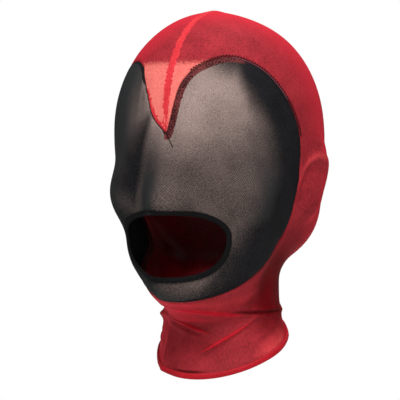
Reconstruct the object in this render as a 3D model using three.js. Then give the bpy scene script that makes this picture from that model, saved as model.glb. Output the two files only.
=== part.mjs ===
// A stretch-net hood mask in its worn form: a red hood with a neck tube, a black face panel with a peaked
// top edge, and a bound mouth opening. Every piece is a thin closed wall that follows one rounded head form.
// Millimetres, +Z up. The face looks along -Y, and the crown of the head touches the cloth at the origin.
// A place on the form has a turn from the front, in degrees towards +X, and a depth below the crown.
import * as THREE from 'three';

// Cloth, tapes and clearances
const CLOTH_WALL = 1.0; // net of the hood and the face panel
const TAPE_WALL = 0.8; // folded tapes and seam allowances
const SEWN_GAP = 0.3; // clearance between two edges, or a tape and the edge in it
const SEAM_GAP = 0.5; // clearance between the cloth and the seam allowance under it
const FACE_SEAM_WIDTH = 4.5;
const CROWN_SEAM = { width: 5.5, tipClear: 14, endClear: 2 }; // clear lengths at the peak's tip and the hem
const MOUTH_TAPE_WIDTH = 4.0;
const HEM_WIDTH = 5.5;

// Columns and rows of the cloth grids
const SIDE_COLUMNS = 28; // half of those round the face edge
const HEAD_ROWS = 17;
const NECK_ROWS = 10;
const FACE_ROWS = 8;

// Rounded masses of the head form: ellipsoids with a centre and radii. One off the middle has a mirrored
// twin. blend is how far the stretched cloth bridges between a mass and those before it.
const MASSES = [
  { name: 'cranium', x: 0, y: 0, z: -90, rx: 75, ry: 97, rz: 90, blend: 0 },
  { name: 'face', x: 0, y: -28, z: -132, rx: 60, ry: 65, rz: 80, blend: 16 },
  { name: 'nape', x: 0, y: 28, z: -142, rx: 68, ry: 62, rz: 56, blend: 20 },
  { name: 'jaw', x: 0, y: -42, z: -178, rx: 50, ry: 46, rz: 40, blend: 18 },
  { name: 'chin', x: 0, y: -75, z: -204, rx: 20, ry: 16, rz: 14, blend: 16 },
  { name: 'cheek', x: 36, y: -58, z: -138, rx: 24, ry: 24, rz: 22, blend: 16 },
  { name: 'nose bridge', x: 0, y: -86, z: -124, rx: 10, ry: 14, rz: 24, blend: 14 },
  { name: 'nose tip', x: 0, y: -95, z: -145, rx: 13, ry: 15, rz: 12, blend: 18 },
  { name: 'ear', x: 69, y: 17, z: -129, rx: 9, ry: 16, rz: 24, blend: 13 },
  { name: 'neck', x: 0, y: 7, z: -240, rx: 44, ry: 47, rz: 140, blend: 14 },
  { name: 'throat', x: 0, y: -34, z: -206, rx: 36, ry: 38, rz: 22, blend: 14 },
  { name: 'neck base', x: 0, y: 12, z: -290, rx: 60, ry: 58, rz: 60, blend: 20 },
];

// Raised folds of the cloth. Each runs between two turns, at a depth that bends through its middle value.
const FOLDS = [
  { name: 'throat roll', turns: [-110, 150], depths: [229, 229, 225], halfWidth: 4, rise: 2.2 },
  { name: 'right drag line', turns: [-44, 22], depths: [234, 241, 249], halfWidth: 3.6, rise: 1.7 },
  { name: 'left drag line', turns: [2, 66], depths: [257, 244, 231], halfWidth: 3.6, rise: 1.8 },
];
const CROWN_TUCK = { rise: 2.0, along: 24, across: 7 }; // the seam's small point on the crown

// The edge between the hood and the face panel, from the peak's tip to the chin. Each row has its turn and
// depth on the wearer's left and on the right: the cloth is worn a little askew, so the peak spreads further
// to the right. neckTurn is where the hood's column from that place comes to the neck.
const FACE_EDGE = [
  { name: 'peak tip', left: [0, 94.5], right: [0, 94.5], neckTurn: 180 },
  { name: 'peak hook', left: [1.7, 83], right: [6.6, 83], neckTurn: 177 },
  { name: 'peak flank', left: [3.4, 68.5], right: [10.5, 68.5], neckTurn: 173.5 },
  { name: 'peak spread', left: [6, 55.5], right: [15.2, 55.5], neckTurn: 170 },
  { name: 'brow rise', left: [12, 46], right: [20.5, 45.2], neckTurn: 166.5 },
  { name: 'brow top', left: [28, 38], right: [32, 39.8], neckTurn: 159 },
  { name: 'temple', left: [50, 48], right: [57, 45], neckTurn: 147 },
  { name: 'ear top', left: [71, 83], right: [78, 83], neckTurn: 128 },
  { name: 'ear front', left: [80, 128], right: [83, 128], neckTurn: 110 },
  { name: 'jaw corner', left: [80, 170], right: [80, 170], neckTurn: 90 },
  { name: 'jaw side', left: [52, 196], right: [52, 196], neckTurn: 57 },
  { name: 'jaw front', left: [24, 212.5], right: [24, 212.5], neckTurn: 27 },
  { name: 'chin', left: [0, 218], right: [0, 218], neckTurn: 0 },
];

// The finished edge of the mouth opening: an oval, flatter above its widest level than below it
const MOUTH = { middleTurn: -2, widestDepth: 171, halfTurn: 28.5, rise: 17.5, drop: 28.5, squareness: 2.3 };

// Depths at the front and at the back where the neck tube begins and where it ends
const NECKLINE = { front: 238, back: 176 };
const HEM = { front: 276.5, back: 233 };

// Finishes
const RED_NET = { color: 0xc4142c, roughness: 0.6, metalness: 0 };
const RED_TAPE = { color: 0xd81e34, roughness: 0.55, metalness: 0 };
const BLACK_NET = { color: 0x17161a, roughness: 0.65, metalness: 0 };
const BLACK_TAPE = { color: 0x0b0b0d, roughness: 0.7, metalness: 0 };
const DARK_STITCHING = { color: 0x34191a, roughness: 0.8, metalness: 0 };

const RAD = Math.PI / 180;
const UP = new THREE.Vector3(0, 0, 1);
const mix = (a, b, t) => a + (b - a) * t;

// The head form

// Distance from a point to one mass, negative inside it.
function massDistance(mass, x, y, z) {
  const sx = ((mass.x > 0 ? Math.abs(x) : x) - mass.x) / mass.rx;
  const sy = (y - mass.y) / mass.ry;
  const sz = (z - mass.z) / mass.rz;
  const level = Math.hypot(sx, sy, sz);
  const slope = Math.hypot(sx / mass.rx, sy / mass.ry, sz / mass.rz);
  return slope > 0 ? (level * (level - 1)) / slope : -mass.rx;
}

// Distance from a point to the form, the soft union of the masses.
function formDistance(x, y, z) {
  let distance = Infinity;
  for (const mass of MASSES) {
    const other = massDistance(mass, x, y, z);
    const shared = mass.blend ? Math.max(1 - Math.abs(distance - other) / mass.blend, 0) : 0;
    distance = Math.min(distance, other) - (shared * shared * mass.blend) / 4;
  }
  return distance;
}

function formNormal({ x, y, z }, step = 0.05) {
  return new THREE.Vector3(
    formDistance(x + step, y, z) - formDistance(x - step, y, z),
    formDistance(x, y + step, z) - formDistance(x, y - step, z),
    formDistance(x, y, z + step) - formDistance(x, y, z - step),
  ).normalize();
}

// The crown map lays the form out flat round the crown, as a dome that turns into a tube.
const DOME_RADIUS = 90;
function toMap(turn, depth) {
  const fall = depth / DOME_RADIUS;
  const reach = DOME_RADIUS * (fall < 1 ? Math.acos(1 - fall) : Math.PI / 2 + fall - 1);
  return new THREE.Vector2(reach * Math.sin(turn * RAD), -reach * Math.cos(turn * RAD));
}
function fromMap(spot) {
  const reach = spot.length() / DOME_RADIUS;
  const fall = reach < Math.PI / 2 ? 1 - Math.cos(reach) : reach - Math.PI / 2 + 1;
  return { turn: Math.atan2(spot.x, -spot.y) / RAD, depth: fall * DOME_RADIUS };
}

// How far the cloth stands off the form at a place.
function foldRise(turn, depth) {
  const { x, y } = toMap(turn, depth);
  const away = Math.hypot(x / CROWN_TUCK.across, y / CROWN_TUCK.along);
  let rise = CROWN_TUCK.rise * Math.exp(-(away ** 2));
  for (const { turns, depths, halfWidth, rise: height } of FOLDS) {
    const t = (turn - turns[0]) / (turns[1] - turns[0]);
    if (t <= 0 || t >= 1) continue;
    const ridge = mix(mix(depths[0], depths[1], 2 * t), mix(depths[1], depths[2], 2 * t - 1), t);
    rise += height * Math.sqrt(Math.sin(Math.PI * t)) * Math.exp(-(((depth - ridge) / halfWidth) ** 2));
  }
  return rise;
}

// The inner face of the cloth at a place, with the direction outwards. Steps from outside the form find
// its radius.
const START_RADIUS = 160;
const STEP_SHARE = 0.8;
const CLOSE = 1e-4;
function place(turn, depth) {
  const [dx, dy] = [Math.sin(turn * RAD), -Math.cos(turn * RAD)];
  const point = new THREE.Vector3(0, 0, -depth);
  let normal = UP.clone();
  if (depth > CLOSE) {
    let radius = START_RADIUS;
    let gap = radius;
    while (Math.abs(gap) > CLOSE) {
      gap = formDistance(radius * dx, radius * dy, -depth);
      radius -= STEP_SHARE * gap;
    }
    point.set(radius * dx, radius * dy, -depth);
    normal = formNormal(point);
  }
  point.addScaledVector(normal, foldRise(turn, depth));
  return { turn, depth, point, normal };
}

// The place on the cloth that is a short distance from another.
function moved(from, direction, distance) {
  const p = from.point.clone().addScaledVector(direction, distance);
  return place(Math.atan2(p.x, -p.y) / RAD, -p.z);
}

// Outlines

// The face edge from the peak's tip down the +X side to the chin, and up the other side to the tip again.
function faceEdgePlaces() {
  const down = FACE_EDGE.map(({ left: [turn, depth], neckTurn }) => new THREE.Vector3(turn, depth, neckTurn));
  const other = FACE_EDGE.map(({ right: [turn, depth], neckTurn }) => new THREE.Vector3(-turn, depth, -neckTurn));
  const up = other.slice(0, -1).reverse();
  const points = new THREE.CatmullRomCurve3([...down, ...up]).getSpacedPoints(2 * SIDE_COLUMNS);
  return points.map(({ x, y, z }) => ({ ...place(x, y), neckTurn: z }));
}

// The mouth's finished edge, with a place for each place of the face edge.
function mouthEdgePlaces() {
  const power = 2 / MOUTH.squareness;
  const bulge = (v) => Math.sign(v) * Math.abs(v) ** power;
  return Array.from({ length: 2 * SIDE_COLUMNS }, (_, j) => {
    const angle = (Math.PI * j) / SIDE_COLUMNS;
    const up = bulge(Math.cos(angle));
    const depth = MOUTH.widestDepth - up * (up > 0 ? MOUTH.rise : MOUTH.drop);
    return place(MOUTH.middleTurn + MOUTH.halfTurn * bulge(Math.sin(angle)), depth);
  });
}

// For each place of a loop, the direction along the cloth away from what the loop encloses. At a corner it
// is longer, so that both sides of the corner move by the same distance.
const LEAST_CORNER = 0.2;
function outwards(loop) {
  const n = loop.length;
  return loop.map(({ point, normal }, j) => {
    const before = point.clone().sub(loop[(j + n - 1) % n].point).cross(normal).negate().normalize();
    const after = loop[(j + 1) % n].point.clone().sub(point).cross(normal).negate().normalize();
    return before.clone().add(after).divideScalar(Math.max(1 + before.dot(after), LEAST_CORNER));
  });
}

// Depths of the neck tube's two ends at a turn
const neckDepth = ({ front, back }, turn) => mix(front, back, (1 - Math.cos(turn * RAD)) / 2);

// Solids

// A closed mesh from sections, each a ring of points, that follow each other round a loop or between two
// ends. An end is closed by pairing the first half of its ring with the second. Both faces of a wall are
// split along the same diagonals, which are mirrored on the other half of the sections.
function sweep(sections, isLoop) {
  const size = sections[0].length;
  const position = sections.flatMap((ring) => ring.flatMap((p) => p.toArray()));
  const index = [];
  const last = isLoop ? sections.length : sections.length - 1;
  for (let j = 0; j < last; j++) {
    const isMirrored = j >= Math.floor(sections.length / 2);
    const [a, b] = [j * size, ((j + 1) % sections.length) * size];
    for (let k = 0; k < size; k++) {
      const next = (k + 1) % size;
      const isBack = k >= size / 2;
      const [p, q, r, s] = [a + k, b + k, b + next, a + next];
      index.push(...(isBack === isMirrored ? [p, q, s, s, q, r] : [p, q, r, p, r, s]));
    }
  }
  const cap = (start, flip) => {
    for (let k = 0; k + 1 < size / 2; k++) {
      const [p, q, r, s] = [k, k + 1, size - 2 - k, size - 1 - k].map((v) => start + v);
      index.push(...(flip ? [p, r, q, p, s, r] : [p, q, r, p, r, s]));
    }
  };
  if (!isLoop) {
    cap(0, false);
    cap((sections.length - 1) * size, true);
  }
  const geometry = new THREE.BufferGeometry();
  geometry.setAttribute('position', new THREE.Float32BufferAttribute(position, 3));
  geometry.setIndex(index);
  geometry.computeVertexNormals();
  return geometry;
}

const raised = ({ point, normal }, height) => point.clone().addScaledVector(normal, height);

// A place between two others, on the flat facet that joins them.
function between(a, b, share) {
  return {
    point: a.point.clone().lerp(b.point, share),
    normal: a.normal.clone().lerp(b.normal, share).normalize(),
  };
}

// The section through a wall of cloth, outer face first, along one column of its places.
function wallSection(column, low = 0, high = CLOTH_WALL) {
  return [...column.map((p) => raised(p, high)), ...column.map((p) => raised(p, low)).reverse()];
}

// A tape folded over the cut edge of a wall, whose first two rows are given.
function foldedTape(edgeRow, nextRow, width) {
  const [inside, outside] = [-SEWN_GAP, CLOTH_WALL + SEWN_GAP];
  const middle = CLOTH_WALL / 2;
  const profile = [
    [width, outside + TAPE_WALL], [TAPE_WALL, outside + TAPE_WALL], [0, middle + TAPE_WALL],
    [0, middle - TAPE_WALL], [TAPE_WALL, inside - TAPE_WALL], [width, inside - TAPE_WALL],
    [width, inside], [TAPE_WALL, inside], [TAPE_WALL, outside], [width, outside],
  ];
  return edgeRow.map((edge, j) => {
    const length = edge.point.distanceTo(nextRow[j].point);
    const at = (u) => between(edge, nextRow[j], (u - TAPE_WALL - SEWN_GAP) / length);
    return profile.map(([u, height]) => raised(at(u), height));
  });
}

// Grids of places

const faceEdge = faceEdgePlaces();
const faceLoop = faceEdge.slice(0, -1);
const faceOut = outwards(faceLoop);
const mouthEdge = mouthEdgePlaces();
const mouthOut = outwards(mouthEdge);

// One end of a column at the face edge, set back from the middle of the seam
function edgeEnd(j, setBack) {
  const out = faceOut[j % faceLoop.length];
  return { ...faceEdge[j], point: faceEdge[j].point.clone().addScaledVector(out, setBack) };
}

// Columns of the face panel, from inside the mouth tape to the face edge
const faceColumns = faceLoop.map((edge, j) => {
  const start = moved(mouthEdge[j], mouthOut[j], MOUTH_TAPE_WIDTH + SEWN_GAP);
  const end = moved(edge, faceOut[j], -FACE_SEAM_WIDTH);
  const column = [moved(mouthEdge[j], mouthOut[j], TAPE_WALL + SEWN_GAP)];
  for (let i = 0; i <= FACE_ROWS; i++) {
    const t = i / FACE_ROWS;
    column.push(place(mix(start.turn, end.turn, t), mix(start.depth, end.depth, t)));
  }
  column.push(edgeEnd(j, -SEWN_GAP / 2));
  return column;
});

// Columns of the hood, from the face edge over the head to the neck and down to inside the hem. The first
// and the last run along the crown seam, on either side of it.
const hoodColumns = faceEdge.map(({ turn, depth, neckTurn }, j) => {
  const side = neckTurn < 0 ? -1 : 1;
  const neckTop = neckDepth(NECKLINE, neckTurn);
  const hem = neckDepth(HEM, neckTurn);
  const hemTop = hem - HEM_WIDTH - SEWN_GAP;
  const [from, to] = [toMap(turn, depth), toMap(neckTurn, neckTop)];
  const column = [edgeEnd(j, SEWN_GAP / 2)];
  for (let i = 1; i < HEAD_ROWS; i++) {
    const spot = fromMap(from.clone().lerp(to, i / HEAD_ROWS));
    column.push(place(side * Math.abs(spot.turn), spot.depth));
  }
  for (let i = 0; i <= NECK_ROWS; i++) {
    column.push(place(neckTurn, mix(neckTop, hemTop, i / NECK_ROWS)));
  }
  column.push(place(neckTurn, hem - TAPE_WALL - SEWN_GAP));
  return column;
});
hoodColumns[0].forEach(({ point }) => point.setX(SEWN_GAP / 2));
hoodColumns.at(-1).forEach(({ point }) => point.setX(-SEWN_GAP / 2));

// Pieces

// The section through a seam allowance, under places of the cloth.
const allowanceSection = (places) => wallSection(places, -SEAM_GAP - TAPE_WALL, -SEAM_GAP);

// The allowance of the face seam, under the last two rows of the face panel
function faceSeamSections() {
  return faceColumns.map((column) => allowanceSection(column.slice(-2)));
}

// The allowance of the crown seam, under the two edges of the hood that meet in the middle
function crownSeamSections() {
  const sides = [[hoodColumns[0], hoodColumns[1]], [hoodColumns.at(-1), hoodColumns.at(-2)]];
  const rungs = hoodColumns[0].slice(0, -1).map((_, i) => sides.map(([edge, next]) => {
    const share = CROWN_SEAM.width / 2 / edge[i].point.distanceTo(next[i].point);
    return between(edge[i], next[i], share);
  }));
  const shorten = (end, next, length) => {
    const share = length / end[0].point.distanceTo(next[0].point);
    return end.map((p, k) => between(p, next[k], share));
  };
  const tip = shorten(rungs[0], rungs[1], CROWN_SEAM.tipClear);
  const end = shorten(rungs.at(-1), rungs.at(-2), CROWN_SEAM.endClear);
  return [tip, ...rungs.slice(1, -1), end].map(allowanceSection);
}

function addPiece(group, name, geometry, finish) {
  const mesh = new THREE.Mesh(geometry, new THREE.MeshStandardMaterial(finish));
  mesh.name = name;
  group.add(mesh);
}

// The tape round the mouth, in the loop's other direction because it folds over the first row of its cloth
function mouthTapeSections() {
  const row = (i) => faceColumns.map((column) => column[i]).reverse();
  return foldedTape(row(0), row(1), MOUTH_TAPE_WIDTH);
}

// The hem, one ring across the two edges of the hood that meet at the back
function hemSections() {
  const row = (i) => {
    const [first, ...others] = hoodColumns.map((column) => column.at(i));
    return [between(first, others.pop(), 0.5), ...others];
  };
  return foldedTape(row(-1), row(-2), HEM_WIDTH);
}

const hoodMask = new THREE.Group();
hoodMask.name = 'hood_mask';
addPiece(hoodMask, 'hood', sweep(hoodColumns.map((c) => wallSection(c)), false), RED_NET);
addPiece(hoodMask, 'face_panel', sweep(faceColumns.map((c) => wallSection(c)), true), BLACK_NET);
addPiece(hoodMask, 'face_seam', sweep(faceSeamSections(), true), DARK_STITCHING);
addPiece(hoodMask, 'crown_seam', sweep(crownSeamSections(), false), RED_TAPE);
addPiece(hoodMask, 'mouth_binding', sweep(mouthTapeSections(), true), BLACK_TAPE);
addPiece(hoodMask, 'neck_hem', sweep(hemSections(), true), RED_TAPE);

export default hoodMask;
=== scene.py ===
# %% [markdown]
# # Dressing a stretch-net hood mask
# The mask is sewn from two stretch nets: a red hood with a neck tube, and a black panel over the face with
# a peaked top edge and a bound mouth opening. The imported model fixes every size. This lesson gives each
# piece its cloth: thin walls, holes of the net, seams with their thread, and soft studio light to see them.

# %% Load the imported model
import math
from collections import namedtuple

import bpy
import numpy as np
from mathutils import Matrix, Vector


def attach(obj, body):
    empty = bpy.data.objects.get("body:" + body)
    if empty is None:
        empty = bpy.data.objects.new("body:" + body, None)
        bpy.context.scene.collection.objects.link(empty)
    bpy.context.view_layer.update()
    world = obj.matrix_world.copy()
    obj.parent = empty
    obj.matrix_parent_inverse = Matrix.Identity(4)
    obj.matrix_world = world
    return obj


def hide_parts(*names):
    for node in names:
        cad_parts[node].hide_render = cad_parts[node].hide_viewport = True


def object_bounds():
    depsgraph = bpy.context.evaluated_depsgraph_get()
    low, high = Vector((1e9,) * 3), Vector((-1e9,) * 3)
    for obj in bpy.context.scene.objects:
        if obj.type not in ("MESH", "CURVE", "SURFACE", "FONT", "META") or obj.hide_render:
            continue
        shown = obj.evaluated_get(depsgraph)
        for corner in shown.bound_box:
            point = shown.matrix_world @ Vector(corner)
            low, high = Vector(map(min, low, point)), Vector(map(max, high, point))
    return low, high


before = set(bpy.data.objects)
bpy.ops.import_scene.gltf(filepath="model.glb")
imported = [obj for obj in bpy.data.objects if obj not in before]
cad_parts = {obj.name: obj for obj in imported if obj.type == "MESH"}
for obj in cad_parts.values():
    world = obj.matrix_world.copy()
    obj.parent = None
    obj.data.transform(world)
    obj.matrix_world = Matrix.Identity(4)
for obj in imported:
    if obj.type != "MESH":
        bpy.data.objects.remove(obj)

CAD_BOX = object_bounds()
MM = 0.001  # the shapes are worked out in millimetres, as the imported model's are, and stored in metres
print("nodes:", ", ".join(sorted(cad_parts)))
print("box in mm:", [[round(v / MM, 1) for v in corner] for corner in CAD_BOX])

# %% [markdown]
# ## The camera
# A long lens far away keeps the mask's proportions calm, as a portrait lens does. The camera stands towards
# the mask's own left, which is +X, and looks level, so the picture shows the face panel and one side of the
# hood. The mask's middle line lies a little right of the picture's middle. Aiming beside it gives that
# without a lens shift, which would stay on in every other view.

# %% Camera
VIEW_TURN = math.radians(24)
VIEW_DISTANCE = 2.0
FRAME_WIDTH = 0.304  # metres across the picture, at the mask's middle line
AXIS_SHIFT = 0.0152  # the middle line, right of the picture's middle
EYE_DEPTH = 0.1429  # the picture's middle, below the crown
SENSOR_MM = 36.0

view_right = Vector((math.cos(VIEW_TURN), math.sin(VIEW_TURN), 0))
view_forward = Vector((-math.sin(VIEW_TURN), math.cos(VIEW_TURN), 0))
camera_data = bpy.data.cameras.new("portrait_camera")
camera_data.sensor_width = SENSOR_MM
camera_data.lens = SENSOR_MM * VIEW_DISTANCE / FRAME_WIDTH
camera = bpy.data.objects.new("portrait_camera", camera_data)
camera.location = Vector((0, 0, -EYE_DEPTH)) - view_right * AXIS_SHIFT - view_forward * VIEW_DISTANCE
camera.rotation_euler = view_forward.to_track_quat("-Z", "Y").to_euler()
bpy.context.scene.collection.objects.link(camera)
bpy.context.scene.camera = camera
print("lens:", round(camera_data.lens), "mm")

# %% [markdown]
# ## The studio
# A net shows best against white: its holes stay bright and its folds read dark. A white world lights from
# all round, one large soft box models the panel from above on the mask's left, and weaker ones lift the
# other side and the back. The mask is held up as it is worn, so the pale floor lies below it. Standard view
# keeps the reds as they are, where a film curve would grey them.

# %% Soft boxes
STUDIO_MIDDLE = Vector((0, 0, -EYE_DEPTH))
SoftBox = namedtuple("SoftBox", "name azimuth elevation distance size power")
SOFT_BOXES = [
    SoftBox("key_soft_box", 28, 43, 1.5, 0.7, 23.0),
    SoftBox("left_soft_box", -45, 50, 1.6, 0.9, 4.0),
    SoftBox("top_soft_box", 150, 72, 1.5, 0.8, 8.0),
]


def add_soft_box(box):
    """An area light that looks at the mask from an azimuth and elevation in degrees."""
    light = bpy.data.lights.new(box.name, "AREA")
    light.shape = "DISK"
    light.size = box.size
    light.energy = box.power
    lamp = bpy.data.objects.new(box.name, light)
    azimuth, elevation = math.radians(box.azimuth), math.radians(box.elevation)
    level = math.cos(elevation)
    back = Vector((math.sin(azimuth) * level, -math.cos(azimuth) * level, math.sin(elevation)))
    lamp.location = STUDIO_MIDDLE + back * box.distance
    lamp.rotation_euler = (-back).to_track_quat("-Z", "Y").to_euler()
    bpy.context.scene.collection.objects.link(lamp)


for soft_box in SOFT_BOXES:
    add_soft_box(soft_box)
print("soft boxes:", len(SOFT_BOXES))

# %% World, floor and view
FLOOR_DROP = 0.085  # below the hem
FLOOR_SIZE = 1.3
FLOOR_COLOUR = (0.86, 0.86, 0.85, 1)
FLOOR_ROUGHNESS = 0.7
LAYERS_SEEN = 24  # of net, one behind the other
SKY_SEEN = 1.0
SKY_LIGHT = 0.2


def add_sky():
    """A white world: bright where the camera sees it, softer as a light."""
    world = bpy.data.worlds.new("white_studio")
    world.use_nodes = True
    nodes, links = world.node_tree.nodes, world.node_tree.links
    background = nodes["Background"]
    background.inputs["Color"].default_value = (1, 1, 1, 1)
    path = nodes.new("ShaderNodeLightPath")
    strength = nodes.new("ShaderNodeMapRange")
    strength.inputs["To Min"].default_value = SKY_LIGHT
    strength.inputs["To Max"].default_value = SKY_SEEN
    links.new(path.outputs["Is Camera Ray"], strength.inputs["Value"])
    links.new(strength.outputs["Result"], background.inputs["Strength"])
    bpy.context.scene.world = world


def add_floor():
    """A plain pale floor, below the mask."""
    half = FLOOR_SIZE / 2
    level = CAD_BOX[0].z - FLOOR_DROP
    mesh = bpy.data.meshes.new("studio_floor")
    corners = [(-half, -half, level), (half, -half, level), (half, half, level), (-half, half, level)]
    mesh.from_pydata(corners, [], [(0, 1, 2, 3)])
    floor = bpy.data.objects.new("studio_floor", mesh)
    paint = bpy.data.materials.new("pale_floor")
    paint.use_nodes = True
    shader = paint.node_tree.nodes["Principled BSDF"]
    shader.inputs["Base Color"].default_value = FLOOR_COLOUR
    shader.inputs["Roughness"].default_value = FLOOR_ROUGHNESS
    mesh.materials.append(paint)
    bpy.context.scene.collection.objects.link(floor)


add_sky()
add_floor()
bpy.context.scene.view_settings.view_transform = "Standard"
bpy.context.scene.cycles.transparent_max_bounces = LAYERS_SEEN
print("the floor lies", round(FLOOR_DROP / MM), "mm below the hem")

# %% [markdown]
# ## The head form
# Stretched cloth takes the shape of what it is pulled over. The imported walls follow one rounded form: a
# soft union of ellipsoids, each a row in a table. The same table here, worked out with numpy for thousands
# of points at once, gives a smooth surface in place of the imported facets. A place on it has a turn from the
# front, in degrees towards +X, and a depth below the crown.

# %% Head form
Mass = namedtuple("Mass", "name centre radii blend")
MASSES = [
    Mass("cranium", (0, 0, -90), (75, 97, 90), 0),
    Mass("face", (0, -28, -132), (60, 65, 80), 16),
    Mass("nape", (0, 28, -142), (68, 62, 56), 20),
    Mass("jaw", (0, -42, -178), (50, 46, 40), 18),
    Mass("chin", (0, -75, -204), (20, 16, 14), 16),
    Mass("cheek", (36, -58, -138), (24, 24, 22), 16),
    Mass("nose bridge", (0, -86, -124), (10, 14, 24), 14),
    Mass("nose tip", (0, -95, -145), (13, 15, 12), 18),
    Mass("ear", (69, 17, -129), (9, 16, 24), 13),
    Mass("neck", (0, 7, -240), (44, 47, 140), 14),
    Mass("throat", (0, -34, -206), (36, 38, 22), 14),
    Mass("neck base", (0, 12, -290), (60, 58, 60), 20),
]
TINY = 1e-9


def mass_distance(mass, points):
    """Distance from each point to one mass, negative inside. A mass off the middle has a mirrored twin."""
    offset = points - np.array(mass.centre, float)
    if mass.centre[0] > 0:
        offset[..., 0] = np.abs(points[..., 0]) - mass.centre[0]
    scaled = offset / mass.radii
    level = np.linalg.norm(scaled, axis=-1)
    slope = np.linalg.norm(scaled / mass.radii, axis=-1)
    return level * (level - 1) / np.maximum(slope, TINY)


def form_distance(points):
    """Distance from each point to the form, the soft union of the masses."""
    distance = mass_distance(MASSES[0], points)
    for mass in MASSES[1:]:
        other = mass_distance(mass, points)
        shared = np.maximum(1 - np.abs(distance - other) / mass.blend, 0)
        distance = np.minimum(distance, other) - shared**2 * mass.blend / 4
    return distance


def form_normal(points, step=0.05):
    """Direction outwards at each point, from the slope of the distance."""
    slopes = []
    for shift in np.eye(3) * step:
        slopes.append(form_distance(points + shift) - form_distance(points - shift))
    normal = np.stack(slopes, -1)
    return normal / np.linalg.norm(normal, axis=-1, keepdims=True)


print("masses:", len(MASSES))

# %% [markdown]
# The radius of the form at a place has no formula, so it is searched for, at all places at once: coarse
# steps from outside find the wall, and halving closes in on it.

# %% Radius of the form
START_RADIUS = 160.0
COARSE_STEP = 4.0
HALVINGS = 16
CHIN_DEPTH = 204.0


def radius_at(turns, depths):
    """Radius of the form at each place."""
    ways = np.stack([np.sin(np.radians(turns)), -np.cos(np.radians(turns))], -1)

    def is_inside(radius):
        level = np.concatenate([ways * radius[..., None], -depths[..., None]], -1)
        return form_distance(level) < 0

    near = np.zeros_like(depths)
    for radius in np.arange(START_RADIUS, 0, -COARSE_STEP):
        near = np.where((near == 0) & is_inside(np.full_like(depths, radius)), radius, near)
    far = near + COARSE_STEP
    for _ in range(HALVINGS):
        middle = (near + far) / 2
        inside = is_inside(middle)
        near = np.where(inside, middle, near)
        far = np.where(inside, far, middle)
    return (near + far) / 2


chin_radius = radius_at(np.array([0.0]), np.array([CHIN_DEPTH]))[0]
print("the chin stands", round(chin_radius), "mm before the middle line")

# %% [markdown]
# ## Folds
# A worn net isn't quite smooth. A roll of slack cloth lies round the throat, two drag lines make a V on the
# neck, and the seam stands up in a small point on the crown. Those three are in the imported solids. Only
# here are finer creases, the sides of the neck drawn in, the crown a little flatter beside its seam, and
# the cloth drawn over the ears. Each fold is a row: where it runs, how wide it is and how high it stands.

# %% Folds
Fold = namedtuple("Fold", "name turns depths half_width rise")
FOLDS = [
    Fold("throat roll", (-110, 150), (229, 229, 225), 4.0, 2.2),
    Fold("right drag line", (-44, 22), (234, 241, 249), 3.6, 1.7),
    Fold("left drag line", (2, 66), (257, 244, 231), 3.6, 1.8),
]
VALLEYS = [
    Fold("valley over the roll", (20, 132), (224.5, 227.2, 224), 1.5, -2.2),
    Fold("valley over the hem", (-36, 22), (267.3, 271, 269.7), 0.9, -0.8),
]
RIDGES = [
    Fold("ridge of the roll", (-30, 64), (219.5, 225, 230), 1.3, 1.3),
    Fold("ridge of the right drag line", (-36, 24), (229.6, 237.8, 246), 1.3, 1.3),
    Fold("ridge of the left drag line", (-8, 68), (262.5, 246, 228.4), 1.3, 1.4),
]
PAINTED_HIGHLIGHTS = [  # painted highlights: brighter cloth that doesn't stand up
    Fold("gleam over the hem", (52, 108), (260, 252, 240.5), 4.5, 0),
    Fold("gleam under the chin", (-20, 76), (219, 218, 204), -2.0, 0),
]
CREASES = [
    Fold("valley of the right drag line", (-34, 26), (233.5, 241.8, 250), 1.8, -0.8),
    Fold("valley of the left drag line", (-4, 62), (266, 250, 233.5), 2.0, -0.9),
    Fold("short crease", (18, 62), (235.5, 236, 234.5), 1.6, -0.7),
    Fold("upper crease", (44, 86), (219, 220.5, 222), 1.8, -0.6),
    Fold("side crease", (44, 112), (252, 241, 226), 2.0, 0.7),
    Fold("far side crease", (-112, -44), (236, 246, 252), 2.2, 0.8),
    Fold("far end of the roll", (-100, -38), (229, 229, 226), 2.8, 2.0),
    Fold("near end of the roll", (98, 134), (224, 226, 224), 1.6, 1.6),
    Fold("nape crease", (134, 205), (204, 200, 206), 2.4, 0.8),
    Fold("far nape crease", (-190, -112), (205, 199, 206), 2.4, 0.8),
]
UprightFold = namedtuple("UprightFold", "name turn half_turn depths rise")
UPRIGHT_FOLDS = [
    UprightFold("right side fold", -40, 4.5, (238, 286), 1.8),
    UprightFold("right side hollow", -26, 7.0, (236, 286), -1.3),
    UprightFold("far side of the hem", -68, 26.0, (240, 290), -3.2),
    UprightFold("left side fold", 80, 16.0, (244, 290), 1.6),
    UprightFold("left side of the neck", 114, 24.0, (192, 246), -2.8),
]
Dome = namedtuple("Dome", "name spot across along rise")
DOMES = [
    Dome("point of the crown seam", (0, -11), 5.5, 9.0, 1.3),
    Dome("flat beside the crown seam", (24, 10), 34.0, 34.0, -2.2),
]
Bump = namedtuple("Bump", "name turn depth half_turn half_depth rise")
EAR_FORMS = [  # on both sides
    Bump("top of the ear", 106, 102, 16.0, 14.0, 2.0),
    Bump("hollow of the ear", 97, 120, 7.0, 6.0, -1.2),
    Bump("hollow under the ear", 112, 142, 22.0, 22.0, -3.6),
]
Rim = namedtuple("Rim", "turn depth half_turn half_depth half_width rise strength backwards downwards")
EAR_RIM = Rim(96, 130, 15, 20, 3.6, 2.2, 0.4, -0.15, -0.7)  # the cloth is drawn over the rim of each ear
print("folds:", len(FOLDS), "in the solids and", len(VALLEYS + RIDGES + CREASES), "finer")

# %% [markdown]
# ## The crown map
# Turn and depth are poor guides near the top, where all turns meet. A map that lays the form out flat round
# the crown, as a dome that turns into a tube, is even there. The point of the crown seam is a place on that
# map, and the hood's columns are straight lines on it.

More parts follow.
